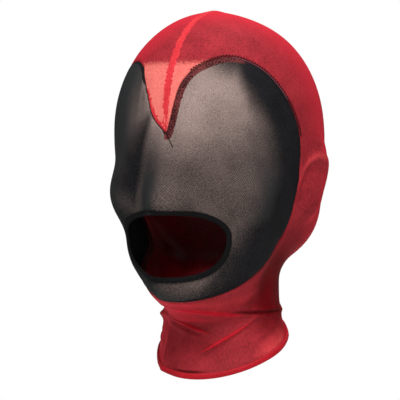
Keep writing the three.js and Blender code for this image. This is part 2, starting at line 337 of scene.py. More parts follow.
# %% Crown map
DOME_RADIUS = 90.0


def turn_of(points):
    """Turn of each point from the front, in degrees. A third coordinate isn't used."""
    return np.degrees(np.arctan2(points[..., 0], -points[..., 1]))


def to_map(turns, depths):
    """Places on the crown map."""
    fall = depths / DOME_RADIUS
    dome = np.arccos(np.clip(1 - fall, -1, 1))
    reach = DOME_RADIUS * np.where(fall < 1, dome, math.pi / 2 + fall - 1)
    return np.stack([reach * np.sin(np.radians(turns)), -reach * np.cos(np.radians(turns))], -1)


def from_map(spots):
    """Turns and depths of places on the crown map."""
    reach = np.linalg.norm(spots, axis=-1) / DOME_RADIUS
    dome = 1 - np.cos(np.minimum(reach, math.pi / 2))
    fall = np.where(reach < math.pi / 2, dome, reach - math.pi / 2 + 1)
    return turn_of(spots), fall * DOME_RADIUS


print("on the map the dome ends", round(np.linalg.norm(to_map(0, DOME_RADIUS))), "mm from the crown")

# %% [markdown]
# ## The worn surface
# Each fold adds its own rise to the form, strong along its middle and gone at its ends. What comes out is
# the inner face of the worn cloth, with the direction outwards at each place.

# %% Worn surface
LEAST_DEPTH = 0.001


def mix(a, b, share):
    return a + (b - a) * share


def in_oval(oval, turns, depths):
    """How far across and down places lie from an oval's middle, as shares of its half sizes."""
    return (turns - oval.turn) / oval.half_turn, (depths - oval.depth) / oval.half_depth


def along_fold(fold, turns):
    """A fold's strength at each turn, from nothing at its ends to 1 between, and its depth there."""
    t = np.clip((turns - fold.turns[0]) / (fold.turns[1] - fold.turns[0]), 0, 1)
    first, middle, last = fold.depths
    depth = mix(mix(first, middle, 2 * t), mix(middle, last, 2 * t - 1), t)
    return np.sqrt(np.abs(np.sin(math.pi * t))), depth


def along_rim(turns, depths):
    """How strong an ear's rim is at each place, most above and in front, and how far its crest is."""
    across, down = in_oval(EAR_RIM, np.abs(turns), depths)
    away = np.abs(np.hypot(across, down) - 1) * EAR_RIM.half_depth
    strength = EAR_RIM.strength + EAR_RIM.backwards * across + EAR_RIM.downwards * down
    return np.clip(strength, 0, 1), away


def fold_rise(turns, depths):
    """How far the cloth stands off the form at each place."""
    spot = to_map(turns, depths)
    strength, away = along_rim(turns, depths)
    rise = EAR_RIM.rise * strength * np.exp(-((away / EAR_RIM.half_width) ** 2))
    for bump in EAR_FORMS:
        across, down = in_oval(bump, np.abs(turns), depths)
        rise = rise + bump.rise * np.exp(-(across**2) - down**2)
    for dome in DOMES:
        across = (spot[..., 0] - dome.spot[0]) / dome.across
        along = (spot[..., 1] - dome.spot[1]) / dome.along
        rise = rise + dome.rise * np.exp(-(np.hypot(across, along) ** 2))
    for fold in FOLDS + VALLEYS + RIDGES + CREASES:
        for lap in (0, 360, -360):
            strength, depth = along_fold(fold, turns + lap)
            rise = rise + fold.rise * strength * np.exp(-(((depths - depth) / fold.half_width) ** 2))
    for fold in UPRIGHT_FOLDS:
        t = np.clip((depths - fold.depths[0]) / (fold.depths[1] - fold.depths[0]), 0, 1)
        profile = np.exp(-(((turns - fold.turn) / fold.half_turn) ** 2))
        rise = rise + fold.rise * np.sin(math.pi * t) * profile
    return rise


Places = namedtuple("Places", "turn depth point normal")


def place(turns, depths):
    """Places of the cloth's inner face, with the direction outwards, for arrays of turns and depths."""
    turns = np.asarray(turns, float)
    depths = np.maximum(np.asarray(depths, float), LEAST_DEPTH)
    radius = radius_at(turns, depths)
    angle = np.radians(turns)
    point = np.stack([radius * np.sin(angle), -radius * np.cos(angle), -depths], -1)
    normal = form_normal(point)
    return Places(turns, depths, point + normal * fold_rise(turns, depths)[..., None], normal)


def place_at(points):
    """The places nearest to points, at their turn and depth."""
    return place(turn_of(points), -points[..., 2])


print("the cloth's inner face at the chin:", place([0.0], [CHIN_DEPTH]).point.round(1)[0], "mm")

# %% [markdown]
# ## Outlines
# Three edges shape the mask: the heart-shaped edge between the nets, the oval of the mouth, and the hem.
# The face edge runs through a few named places, joined by a smooth curve on the cloth. Each has a turn and
# a depth on both sides, because the mask is worn a little askew: the peak spreads further to the mask's
# right. The mouth is a superellipse, flatter above its widest level than below. The hem is low in front.

# %% Outlines
EdgeSpot = namedtuple("EdgeSpot", "name left right neck_turn")
FACE_EDGE = [
    EdgeSpot("peak tip", (0, 94.5), (0, 94.5), 180),
    EdgeSpot("peak hook", (1.7, 83), (6.6, 83), 177),
    EdgeSpot("peak flank", (3.4, 68.5), (10.5, 68.5), 173.5),
    EdgeSpot("peak spread", (6, 55.5), (15.2, 55.5), 170),
    EdgeSpot("brow rise", (12, 46), (20.5, 45.2), 166.5),
    EdgeSpot("brow top", (28, 38), (32, 39.8), 159),
    EdgeSpot("temple", (50, 48), (57, 45), 147),
    EdgeSpot("ear top", (71, 83), (78, 83), 128),
    EdgeSpot("ear front", (80, 128), (83, 128), 110),
    EdgeSpot("jaw corner", (80, 170), (80, 170), 90),
    EdgeSpot("jaw side", (52, 196), (52, 196), 57),
    EdgeSpot("jaw front", (24, 212.5), (24, 212.5), 27),
    EdgeSpot("chin", (0, 218), (0, 218), 0),
]
Oval = namedtuple("Oval", "middle_turn widest_depth half_turn rise drop squareness")
MOUTH = Oval(-2, 171, 28.5, 17.5, 28.5, 2.3)
Ends = namedtuple("Ends", "front back")
NECKLINE = Ends(238, 176)
HEM = Ends(276.5, 233)
COLUMNS = 336  # round each edge
print("face edge:", len(FACE_EDGE), "places on each side")

# %% [markdown]
# A curve through the named places has to bend without overshooting where they lie close together, at the
# peak. A centripetal Catmull-Rom curve does that. It is then read at even steps along its length.

# %% Smooth line helper
CURVE_STEPS = 24


def run_length(points):
    """Distance along a line of points, from its first."""
    return np.concatenate([[0], np.cumsum(np.linalg.norm(np.diff(points, axis=0), axis=1))])


def read_line(at, length, line):
    """The rows of a line at some distances along it."""
    return np.stack([np.interp(at, length, column) for column in line.T], -1)


def smooth_line(knots, count):
    """Points evenly spaced along a centripetal Catmull-Rom curve through the knots."""
    around = np.vstack([2 * knots[0] - knots[1], knots, 2 * knots[-1] - knots[-2]])
    gap = np.sqrt(np.linalg.norm(np.diff(around, axis=0), axis=1))[:, None]
    p0, p1, p2, p3 = (around[i : len(around) - 3 + i] for i in range(4))
    g0, g1, g2 = (gap[i : len(gap) - 2 + i] for i in range(3))
    leave = ((p1 - p0) / g0 - (p2 - p0) / (g0 + g1) + (p2 - p1) / g1) * g1
    arrive = ((p2 - p1) / g1 - (p3 - p1) / (g1 + g2) + (p3 - p2) / g2) * g1
    t = (np.arange(CURVE_STEPS) / CURVE_STEPS)[:, None, None]
    cubic = 2 * p1 - 2 * p2 + leave + arrive
    square = -3 * p1 + 3 * p2 - 2 * leave - arrive
    line = (((cubic * t + square) * t + leave) * t + p1).transpose(1, 0, 2).reshape(-1, knots.shape[1])
    line = np.vstack([line, knots[-1:]])
    length = run_length(line)
    return read_line(np.linspace(0, length[-1], count), length, line)


print("smooth line helper ready")

# %% [markdown]
# The edges are worked out as turns and depths and then placed on the worn surface. Seams, tapes and threads
# keep their distance from an edge, so each place of it also gets a direction along the cloth.

# %% Edges on the cloth


def face_edge_spots():
    """Turn, depth and neck turn along the face edge: from the peak down the +X side, and up the other."""
    down = np.array([(*spot.left, spot.neck_turn) for spot in FACE_EDGE], float)
    other = np.array([(*spot.right, spot.neck_turn) for spot in FACE_EDGE], float) * (-1, 1, -1)
    return smooth_line(np.vstack([down, other[-2::-1]]), COLUMNS + 1)


def mouth_spots():
    """Turn and depth round the finished edge of the mouth."""
    angle = 2 * math.pi * np.arange(COLUMNS) / COLUMNS
    power = 2 / MOUTH.squareness
    up = np.sign(np.cos(angle)) * np.abs(np.cos(angle)) ** power
    across = np.sign(np.sin(angle)) * np.abs(np.sin(angle)) ** power
    depth = MOUTH.widest_depth - up * np.where(up > 0, MOUTH.rise, MOUTH.drop)
    return MOUTH.middle_turn + MOUTH.half_turn * across, depth


def neck_depth(ends, turns):
    """Depth of one end of the neck tube at each turn."""
    return mix(ends.front, ends.back, (1 - np.cos(np.radians(turns))) / 2)


LEAST_CORNER = 0.2


def outwards(loop):
    """Directions along the cloth out of a loop, longer at a corner so both its sides keep pace."""
    ahead = np.roll(loop.point, -1, axis=0) - loop.point
    before = np.cross(loop.normal, np.roll(ahead, 1, axis=0))
    after = np.cross(loop.normal, ahead)
    before /= np.linalg.norm(before, axis=1, keepdims=True)
    after /= np.linalg.norm(after, axis=1, keepdims=True)
    turn = np.maximum(1 + np.sum(before * after, axis=1, keepdims=True), LEAST_CORNER)
    return (before + after) / turn


face_spots = face_edge_spots()
face_edge = place(face_spots[:, 0], face_spots[:, 1])
face_loop = Places(*(part[:-1] for part in face_edge))
face_out = outwards(face_loop)
mouth_edge = place(*mouth_spots())
mouth_out = outwards(mouth_edge)


def loop_length(points):
    return np.linalg.norm(np.roll(points, -1, axis=0) - points, axis=1).sum()


print("face edge:", round(loop_length(face_loop.point)), "mm round")
print("mouth edge:", round(loop_length(mouth_edge.point)), "mm round")

# %% [markdown]
# ## Node helpers
# Materials and stitches are node trees built in code. A few small helpers keep that readable: one adds a
# node and feeds its inputs, three add common kinds, and one opens a shader group with named sockets.

# %% Node helpers
VECTOR_MATH = "ShaderNodeVectorMath"


def feed(tree, socket, value):
    """Links a socket to another, or sets it to a plain value."""
    if isinstance(value, bpy.types.NodeSocket):
        tree.links.new(value, socket)
    else:
        socket.default_value = value


def add_node(tree, kind, settings=None, **inputs):
    """A new node with its settings, and its inputs fed by name with _ for a space."""
    node = tree.nodes.new(kind)
    for name, value in (settings or {}).items():
        setattr(node, name, value)
    for name, value in inputs.items():
        feed(tree, node.inputs[name.replace("_", " ")], value)
    return node


def math_node(tree, operation, *values, kind="ShaderNodeMath"):
    """The output of a Math or Vector Math node, its inputs fed in their order."""
    node = add_node(tree, kind, {"operation": operation})
    for socket, value in zip(node.inputs, values):
        feed(tree, socket, value)
    return node.outputs[0]


def noise_node(tree, vector, scale, detail=2.0):
    """The outputs of a noise with a scale in waves to a metre."""
    return add_node(tree, "ShaderNodeTexNoise", Vector=vector, Scale=scale, Detail=detail).outputs


def smooth_step(tree, value, low, high, **ends):
    """A value's smooth way from one end to the other, as it goes from low to high."""
    step = add_node(tree, "ShaderNodeMapRange", {"interpolation_type": "SMOOTHSTEP"}, Value=value,
                    From_Min=low, From_Max=high, **ends)
    return step.outputs["Result"]


def open_group(name, inputs, outputs):
    """A shader group with named sockets: (tree, its inputs by name, its output node)."""
    tree = bpy.data.node_groups.new(name, "ShaderNodeTree")
    for label, kind, default in inputs:
        socket = tree.interface.new_socket(label, in_out="INPUT", socket_type=kind)
        if default is not None:
            socket.default_value = default
    for label, kind in outputs:
        tree.interface.new_socket(label, in_out="OUTPUT", socket_type=kind)
    given = tree.nodes.new("NodeGroupInput").outputs
    return tree, given, tree.nodes.new("NodeGroupOutput")


print("helpers ready")

# %% [markdown]
# ## The net
# Both cloths are the same kind of net: small openings in rows, each row shifted by half a step, with a fine
# knitted yarn between them. Cutting a hundred thousand holes in a mesh is wasteful, so the net is a shader
# group. The product of two cosines has peaks in just that pattern. Where it is above a level there is an
# opening, which fine filaments still cover in part, and below it the yarn rounds up. One slow noise varies
# the level, as stretched net varies, and another lets the rows wander a little. The tint has fine grain and
# streaks along the rows. The group puts out a cover for Alpha, a height for bump and a tint for colour. It
# reads the piece's own UV map, which is a flat cut in metres.

# %% Net weave group
FLOAT, VECTOR = "NodeSocketFloat", "NodeSocketVector"
STREAK_SHAPE = (1.0, 0.3, 1.0)  # streaks of the knit are longer along one way of the cut
NOISE_MIDDLE = 0.5
WANDER_SCALE, STRETCH_SCALE, GRAIN_SCALE, STREAK_SCALE = 130.0, 55.0, 900.0, 800.0
STRETCH_TINT = 0.5  # how much of the stretch shows in the tint


def net_weave_group():
    tree, given, result = open_group(
        "net_weave",
        [("Flat", VECTOR, None), ("Step", FLOAT, 2 * MM), ("Level", FLOAT, 0.1),
         ("Opening Cover", FLOAT, 0.1), ("Edge", FLOAT, 0.2), ("Stretch", FLOAT, 0.25),
         ("Wander", FLOAT, 0.5 * MM), ("Streaks", FLOAT, 0.5)],
        [("Cover", FLOAT), ("Height", FLOAT), ("Tint", FLOAT)],
    )
    turns = math_node(tree, "DIVIDE", 2 * math.pi, given["Step"])
    bend = noise_node(tree, given["Flat"], WANDER_SCALE, detail=1.0)["Color"]
    away = math_node(tree, "SUBTRACT", bend, (NOISE_MIDDLE,) * 3, kind=VECTOR_MATH)
    wandered = math_node(tree, "MULTIPLY_ADD", away, given["Wander"], given["Flat"], kind=VECTOR_MATH)
    flat = add_node(tree, "ShaderNodeSeparateXYZ", Vector=wandered)
    across = math_node(tree, "COSINE", math_node(tree, "MULTIPLY", flat.outputs["X"], turns))
    along = math_node(tree, "COSINE", math_node(tree, "MULTIPLY", flat.outputs["Y"], turns))
    peaks = math_node(tree, "MULTIPLY", across, along)
    slow = noise_node(tree, given["Flat"], STRETCH_SCALE)["Fac"]
    shift = math_node(tree, "SUBTRACT", slow, NOISE_MIDDLE)
    level = math_node(tree, "MULTIPLY_ADD", shift, given["Stretch"], given["Level"])
    low = math_node(tree, "SUBTRACT", level, given["Edge"])
    high = math_node(tree, "ADD", level, given["Edge"])
    cover = smooth_step(tree, peaks, low, high, To_Min=1.0, To_Max=given["Opening Cover"])
    height = add_node(tree, "ShaderNodeMapRange", {"interpolation_type": "SMOOTHERSTEP"}, Value=peaks,
                      From_Min=-1.0, From_Max=high, To_Min=1.0, To_Max=0.0)
    fine = noise_node(tree, given["Flat"], GRAIN_SCALE)["Fac"]
    drawn = math_node(tree, "MULTIPLY", given["Flat"], STREAK_SHAPE, kind=VECTOR_MATH)
    streaks = noise_node(tree, drawn, STREAK_SCALE, detail=3.0)["Fac"]
    streak = math_node(tree, "SUBTRACT", streaks, NOISE_MIDDLE)
    grain = math_node(tree, "MULTIPLY_ADD", shift, STRETCH_TINT, fine)
    tint = math_node(tree, "MULTIPLY_ADD", streak, given["Streaks"], grain)
    tree.links.new(cover, result.inputs["Cover"])
    tree.links.new(height.outputs["Result"], result.inputs["Height"])
    tree.links.new(tint, result.inputs["Tint"])
    return tree


NET_WEAVE = net_weave_group()
print("net weave:", len(NET_WEAVE.nodes), "nodes")

# %% [markdown]
# ## Yarn and ribs
# Tapes and threads need another surface: fine ribs that cross the piece, as in elastic, or that wind round
# it, as in twisted thread. One group gives both. It makes a wave along a given direction, breaks it up with
# noise, and puts out a height and a tint.

# %% Ribs group
FUZZ_SCALE = 700.0
RIB_TINT = 0.35  # the ribs' share of the tint, beside the noise's


def ribs_group():
    tree, given, result = open_group(
        "yarn_ribs",
        [("Place", VECTOR, None), ("Step", FLOAT, 0.001), ("Break", FLOAT, 0.4)],
        [("Height", FLOAT), ("Tint", FLOAT)],
    )
    turns = math_node(tree, "DIVIDE", 2 * math.pi, given["Step"])
    spot = add_node(tree, "ShaderNodeSeparateXYZ", Vector=given["Place"])
    noise = noise_node(tree, given["Place"], FUZZ_SCALE)["Fac"]
    drift = math_node(tree, "MULTIPLY", math_node(tree, "MULTIPLY", noise, given["Break"]), math.pi)
    wave = math_node(tree, "COSINE", math_node(tree, "MULTIPLY_ADD", spot.outputs["X"], turns, drift))
    height = math_node(tree, "MULTIPLY_ADD", wave, 0.5, 0.5)
    fuzz = math_node(tree, "MULTIPLY", noise, 1 - RIB_TINT)
    tint = math_node(tree, "MULTIPLY_ADD", height, RIB_TINT, fuzz)
    tree.links.new(height, result.inputs["Height"])
    tree.links.new(tint, result.inputs["Tint"])
    return tree


YARN_RIBS = ribs_group()
print("yarn ribs:", len(YARN_RIBS.nodes), "nodes")

# %% [markdown]
# ## Materials
# All finishes share those groups. The red net is the denser one, and the black net the sheerer, so that the
# hollow shows through it. Seen askew, a net's openings close, so both cloths change with the slant of the
# view: the red turns solid, and brighter too, which is a painted rim highlight. The black, smoky where it
# faces the eye, turns deep black. Some strips of a cloth look different again. The red is paler where it is
# stretched over the brow, and deeper under the ears and low on the neck. Painted shade darkens it where a
# fold closes on itself. It is brighter where it lies double on its own allowance. Along the ridge of a fold
# it is denser, as it is seen edge-on there, and brighter with a painted highlight. Painted highlights also
# brighten it along the rim of an ear and in two soft patches, over the hem and under the chin. The black
# has a painted highlight over the brow, and painted shade towards the temples and jaws and under the arch
# beside the peak. It is dense along its edge, where maroon shows in it near the peak. The mesh carries the
# distance into each strip, and the material turns that into a band with an uneven or a soft edge. The tape
# is dense black elastic with cross ribs. Seam allowances and threads are matte.

# %% Looks of the nets
NetLook = namedtuple(
    "NetLook", "dark bright askew step level opening streaks askew_cover askew_span roughness specular")
# The red's askew colour is brighter than its bright one: a painted rim highlight where the net is seen askew.
RED_NET = NetLook((0.18, 0.012, 0.017), (0.44, 0.031, 0.043), (0.60, 0.020, 0.038),
                  0.9 * MM, 0.3, 0.88, 0.7, 0.98, (0.45, 0.92), 0.6, 0.04)
BLACK_NET = NetLook((0.040, 0.030, 0.027), (0.140, 0.104, 0.094), (0.028, 0.029, 0.030),
                    1.5 * MM, 0.1, 0.7, 0.2, 0.97, (0.0, 0.68), 0.75, 0.06)
RED_FOLD = NetLook((0.30, 0.006, 0.011), (0.53, 0.011, 0.023), (0.50, 0.010, 0.022),
                   0.9 * MM, 0.7, 0.7, 0.5, 0.97, (0.4, 0.95), 0.5, 0.1)
SEAM_NET = NetLook((0.05, 0.010, 0.010), (0.16, 0.036, 0.034), (0.05, 0.012, 0.012),
                   0.9 * MM, 0.5, 0.5, 0.5, 0.97, (0.3, 0.95), 0.75, 0.1)
StripLook = namedtuple("StripLook", "name dark bright contrast cover edge wobble")
RED_LAP = StripLook("lap", (0.46, 0.020, 0.028), (0.77, 0.050, 0.062), 1.0, 0.96, 0.25 * MM, 5.0 * MM)
RED_PALE = StripLook("pale", (0.62, 0.112, 0.096), (0.85, 0.212, 0.180), 1.0, 0.9, 3.0 * MM, 7 * MM)
# darker under each ear and, weaker, low on the neck
RED_DEEP = StripLook("deep", (0.065, 0.001, 0.002), (0.20, 0.002, 0.005), 1.0, 0.98, 18.0 * MM, 4 * MM)
# along fold ridges: denser, as the cloth is seen edge-on there, and brighter, which is a painted highlight
RED_RIDGE = StripLook("ridge", (0.36, 0.006, 0.012), (0.62, 0.014, 0.030), 1.0, 0.95, 0.7 * MM, 0.8 * MM)
# painted highlights over the hem and under the chin
RED_PAINTED_HIGHLIGHT = StripLook("gleam", (0.44, 0.032, 0.038), (0.76, 0.066, 0.074), 1.0, 0.95, 9.0 * MM, 3.0 * MM)
# a painted highlight along the rim of each ear
RED_RIM_HIGHLIGHT = StripLook("rim", (0.44, 0.036, 0.042), (0.76, 0.070, 0.080), 1.0, 0.95, 2.2 * MM, 2.0 * MM)
# painted shade in the valleys, where a fold closes on itself
RED_VALLEY_SHADE = StripLook("valley", (0.05, 0.001, 0.002), (0.12, 0.003, 0.005), 1.0, 0.97, 1.0 * MM, 0.8 * MM)
# a painted highlight over the brow
BLACK_BROW_HIGHLIGHT = StripLook("brow", (0.172, 0.124, 0.111), (0.425, 0.310, 0.277), 1.0, 0.8, 24.0 * MM, 6 * MM)
# painted shade towards the temples and jaws and under the arch
BLACK_SHADE = StripLook("shade", (0.004, 0.004, 0.005), (0.017, 0.016, 0.018), 1.0, 0.95, 11.0 * MM, 6 * MM)
BLACK_EDGE = StripLook("edge", (0.003, 0.003, 0.004), (0.016, 0.014, 0.016), 1.0, 0.95, 0.3 * MM, 1.2 * MM)
MAROON_EDGE = StripLook("maroon", (0.006, 0.002, 0.003), (0.19, 0.04, 0.04), 2.4, 0.95, 0.3 * MM, 1.2 * MM)
RED_STRIPS = [RED_DEEP, RED_PAINTED_HIGHLIGHT, RED_LAP, RED_RIDGE, RED_RIM_HIGHLIGHT, RED_VALLEY_SHADE]  # later ones lie on top
BLACK_STRIPS = [BLACK_SHADE, BLACK_EDGE, MAROON_EDGE]
print("sewn strips:", len(RED_STRIPS), "on the red net and", len(BLACK_STRIPS), "on the black one")

# %% Colour helpers
FLAT_CUT = "flat_cut"
TINT_REACH = 0.3
STRIP_SCALE = 420.0  # of the noise in a strip's edge


def start_material(name):
    """A new material: (material, its tree, its Principled shader, its UV vector)."""
    material = bpy.data.materials.new(name)
    material.use_nodes = True
    tree = material.node_tree
    flat = add_node(tree, "ShaderNodeUVMap", {"uv_map": FLAT_CUT}).outputs["UV"]
    return material, tree, tree.nodes["Principled BSDF"], flat


def colour_by(tree, tint, dark, bright, contrast=1.0):
    """A colour between two, by a tint. More contrast gives more of the two, and less between."""
    node = add_node(tree, "ShaderNodeValToRGB", Fac=tint)
    reach = TINT_REACH / contrast
    ends = (NOISE_MIDDLE - reach, dark), (NOISE_MIDDLE + reach, bright)
    for element, (position, colour) in zip(node.color_ramp.elements, ends):
        element.position = position
        element.color = (*colour, 1)
    return node.outputs["Color"]


def mix_colour(tree, share, first, second):
    """A mix of two colours, each a socket or a plain colour with alpha."""
    node = add_node(tree, "ShaderNodeMix", {"data_type": "RGBA"}, Factor=share)
    sockets = {socket.identifier: socket for socket in node.inputs}
    feed(tree, sockets["A_Color"], first)
    feed(tree, sockets["B_Color"], second)
    return next(socket for socket in node.outputs if socket.identifier == "Result_Color")


def strip_mask(tree, flat, look):
    """A mask of a strip, from the distance into it that the mesh carries."""
    depth = add_node(tree, "ShaderNodeAttribute", {"attribute_name": look.name}).outputs["Fac"]
    swing = math_node(tree, "SUBTRACT", noise_node(tree, flat, STRIP_SCALE)["Fac"], NOISE_MIDDLE)
    uneven = math_node(tree, "MULTIPLY_ADD", swing, look.wobble, depth)
    return smooth_step(tree, uneven, -look.edge, look.edge)


def add_strips(tree, flat, tint, strips, colour, cover):
    """The colour and cover of a cloth, changed by its strips in their order."""
    for strip in strips:
        mask = strip_mask(tree, flat, strip)
        dye = colour_by(tree, tint, strip.dark, strip.bright, strip.contrast)
        colour = mix_colour(tree, mask, colour, dye)
        cover = math_node(tree, "MAXIMUM", cover, math_node(tree, "MULTIPLY", mask, strip.cover))
    return colour, cover


print("colour helpers ready")

# %% Net materials
NET_RELIEF, NET_BUMP = 0.12 * MM, 0.4


def finish_shader(tree, shader, look, colour, height, strength, relief):
    """Feeds a shader with a colour, a height as bump, and the look's roughness and specular."""
    bump = add_node(tree, "ShaderNodeBump", Height=height, Strength=strength, Distance=relief)
    values = (colour, bump.outputs["Normal"], look.roughness, look.specular)
    for name, value in zip(("Base Color", "Normal", "Roughness", "Specular IOR Level"), values):
        feed(tree, shader.inputs[name], value)


def net_material(name, look, under_askew=(), over_askew=()):
    """Net cloth, with strips under its askew colour and strips over it, among them painted light and shade.
    """
    material, tree, shader, flat = start_material(name)
    net = add_node(tree, "ShaderNodeGroup", {"node_tree": NET_WEAVE}, Flat=flat, Step=look.step,
                   Level=look.level, Opening_Cover=look.opening, Streaks=look.streaks)
    facing = add_node(tree, "ShaderNodeLayerWeight", Blend=0.5).outputs["Facing"]
    askew = smooth_step(tree, facing, *look.askew_span)
    tint = net.outputs["Tint"]
    colour = colour_by(tree, tint, look.dark, look.bright)
    colour, cover = add_strips(tree, flat, tint, under_askew, colour, net.outputs["Cover"])
    # the askew colour: for the red net a painted rim highlight, for the black a deeper black
    colour = mix_colour(tree, askew, colour, (*look.askew, 1))
    cover = math_node(tree, "MAXIMUM", cover, math_node(tree, "MULTIPLY", askew, look.askew_cover))
    colour, cover = add_strips(tree, flat, tint, over_askew, colour, cover)
    finish_shader(tree, shader, look, colour, net.outputs["Height"], NET_BUMP, NET_RELIEF)
    tree.links.new(cover, shader.inputs["Alpha"])
    return material


red_net = net_material("red_net", RED_NET, [RED_PALE], RED_STRIPS)
black_net = net_material("black_net", BLACK_NET, [BLACK_BROW_HIGHLIGHT], BLACK_STRIPS)
red_fold = net_material("red_fold", RED_FOLD)
seam_net = net_material("seam_net", SEAM_NET)
print("red net:", len(red_net.node_tree.nodes), "nodes")

# %% Tape and threads
RIB_BUMP = 0.7
RibLook = namedtuple("RibLook", "dark bright step breaking relief roughness specular")
ELASTIC = RibLook((0.001, 0.001, 0.001), (0.007, 0.007, 0.008), 0.9 * MM, 0.5, 0.16 * MM, 0.75, 0.08)
BLACK_THREAD = RibLook((0.002, 0.002, 0.002), (0.016, 0.008, 0.008), 0.5 * MM, 1.0, 0.05 * MM, 0.7, 0.1)
PINK_THREAD = RibLook((0.10, 0.030, 0.045), (0.36, 0.130, 0.180), 0.5 * MM, 1.0, 0.05 * MM, 0.6, 0.3)
RED_THREAD = RibLook((0.40, 0.008, 0.018), (0.80, 0.030, 0.050), 0.5 * MM, 1.0, 0.05 * MM, 0.6, 0.3)


def ribbed_material(name, look, is_flat):
    """Tape or thread with ribs, along its flat cut or its place."""
    material, tree, shader, flat = start_material(name)
    if not is_flat:
        flat = add_node(tree, "ShaderNodeTexCoord").outputs["Object"]
    ribs = add_node(tree, "ShaderNodeGroup", {"node_tree": YARN_RIBS}, Place=flat, Step=look.step,
                    Break=look.breaking)
    colour = colour_by(tree, ribs.outputs["Tint"], look.dark, look.bright)
    finish_shader(tree, shader, look, colour, ribs.outputs["Height"], RIB_BUMP, look.relief)
    return material


black_elastic = ribbed_material("black_elastic", ELASTIC, True)
black_thread = ribbed_material("black_thread", BLACK_THREAD, False)
pink_thread = ribbed_material("pink_thread", PINK_THREAD, False)
red_thread = ribbed_material("red_thread", RED_THREAD, False)
print("materials:", len([m for m in bpy.data.materials if m.node_tree]))

# %% [markdown]
# ## Cloth as a thin closed wall
# A sheet with no thickness has no inside, and a mesh file of it is open. Each cloth here is two layers, a
# third of a millimetre or so apart, joined by a rim. One helper builds that wall from a grid of places, in
# columns and rows, as a strip with four rims or as a loop with two. Both layers take the same UV, so the
# openings of the net line up and seen askew they close, as real net darkens towards its edges.

# %% Wall helper
RIM_ANGLE = math.radians(50)  # rims stay sharp, so a cut edge isn't shaded as a round one
TURNED_OVER = (0, 3, 2, 1)  # the corners of a quad that is seen from its other side


def join_quads(*corners):
    """Quads from four arrays of point numbers."""
    return np.stack(corners, -1).reshape(-1, 4)


def grid_quads(index):
    """Quads between neighbours in a grid of point numbers."""
    return join_quads(index[:-1, :-1], index[1:, :-1], index[1:, 1:], index[:-1, 1:])


def wall_quads(columns, rows, is_loop):
    """Quads of a closed wall. The outer layer's points come first, column by column, then the inner's."""
    outer = np.arange(columns * rows).reshape(columns, rows)
    inner = outer + columns * rows
    if is_loop:
        outer, inner = (np.vstack([layer, layer[:1]]) for layer in (outer, inner))

    def rim(far, near):
        return join_quads(outer[near], outer[far], inner[far], inner[near])

    parts = [
        grid_quads(outer),
        grid_quads(inner)[:, TURNED_OVER],
        rim(np.s_[:-1, 0], np.s_[1:, 0]),
        rim(np.s_[1:, -1], np.s_[:-1, -1]),
    ]
    if not is_loop:
        parts += [rim(np.s_[0, 1:], np.s_[0, :-1]), rim(np.s_[-1, :-1], np.s_[-1, 1:])]
    return np.vstack(parts)


def corner_points(mesh):
    """The point number of each corner of a mesh's faces."""
    corner = np.zeros(len(mesh.loops), np.int32)
    mesh.loops.foreach_get("vertex_index", corner)
    return corner


def add_mesh(name, points, quads, flat, material):
    """A smooth mesh object from points in millimetres, quads, and a flat UV in metres for each point."""
    mesh = bpy.data.meshes.new(name)
    mesh.from_pydata((points * MM).tolist(), [], quads.tolist())
    mesh.materials.append(material)
    layer = mesh.uv_layers.new(name=FLAT_CUT)
    layer.data.foreach_set("uv", flat[corner_points(mesh)].astype(np.float32).ravel())
    mesh.shade_smooth()
    mesh.set_sharp_from_angle(angle=RIM_ANGLE)
    piece = bpy.data.objects.new(name, mesh)
    bpy.context.scene.collection.objects.link(piece)
    return piece


def add_wall(name, points, normals, low, high, flat, material, is_loop):
    """A closed cloth wall over a grid of points (columns, rows, 3), between two heights over them."""
    columns, rows = points.shape[:2]
    layers = [points + normals * high, points + normals * low]
    both = np.concatenate([layer.reshape(-1, 3) for layer in layers])
    twice = np.concatenate([flat.reshape(-1, 2)] * 2)
    return add_mesh(name, both, wall_quads(columns, rows, is_loop), twice, material)


print("a wall of 3 by 3 places has", len(wall_quads(3, 3, False)), "quads")

# %% [markdown]
# ## The flat cut
# Net is cut flat and then stretched. To know how the openings lie on the worn cloth, and how large it is as
# stretched, the curved sheet is laid flat again: Blender's unwrap does that for a coarse copy of the grid,
# which is then scaled to the cloth's true area and turned upright. The fine grid takes its UV between those
# places.

# %% Flat cut helper
COARSE = 4  # one coarse place for this many fine ones
FlatCut = namedtuple("FlatCut", "grid width length area")


def sheet_area(points):
    """Area of a grid of points, from its quads' diagonals."""
    cross = np.cross(points[1:, 1:] - points[:-1, :-1], points[:-1, 1:] - points[1:, :-1])
    return np.linalg.norm(cross, axis=-1).sum() / 2


def unwrapped(points, is_loop):
    """Blender's own unwrap of a coarse grid, as UV for each of its points."""
    columns, rows = points.shape[:2]
    index = np.arange(columns * rows).reshape(columns, rows)
    ring = np.vstack([index, index[:1]]) if is_loop else index
    flat = np.zeros((columns * rows, 2))
    blank = add_mesh(FLAT_CUT, points.reshape(-1, 3), grid_quads(ring), flat, red_net)
    bpy.ops.object.select_all(action="DESELECT")
    blank.select_set(True)
    bpy.context.view_layer.objects.active = blank
    bpy.ops.object.mode_set(mode="EDIT")
    bpy.ops.mesh.select_all(action="SELECT")
    bpy.ops.uv.unwrap(method="ANGLE_BASED", margin=0.0)
    bpy.ops.object.mode_set(mode="OBJECT")
    mesh = blank.data
    uv = np.zeros(len(mesh.loops) * 2, np.float32)
    mesh.uv_layers[FLAT_CUT].data.foreach_get("uv", uv)
    flat[corner_points(mesh)] = uv.reshape(-1, 2)
    bpy.data.objects.remove(blank)
    bpy.data.meshes.remove(mesh)
    return flat.reshape(columns, rows, 2)


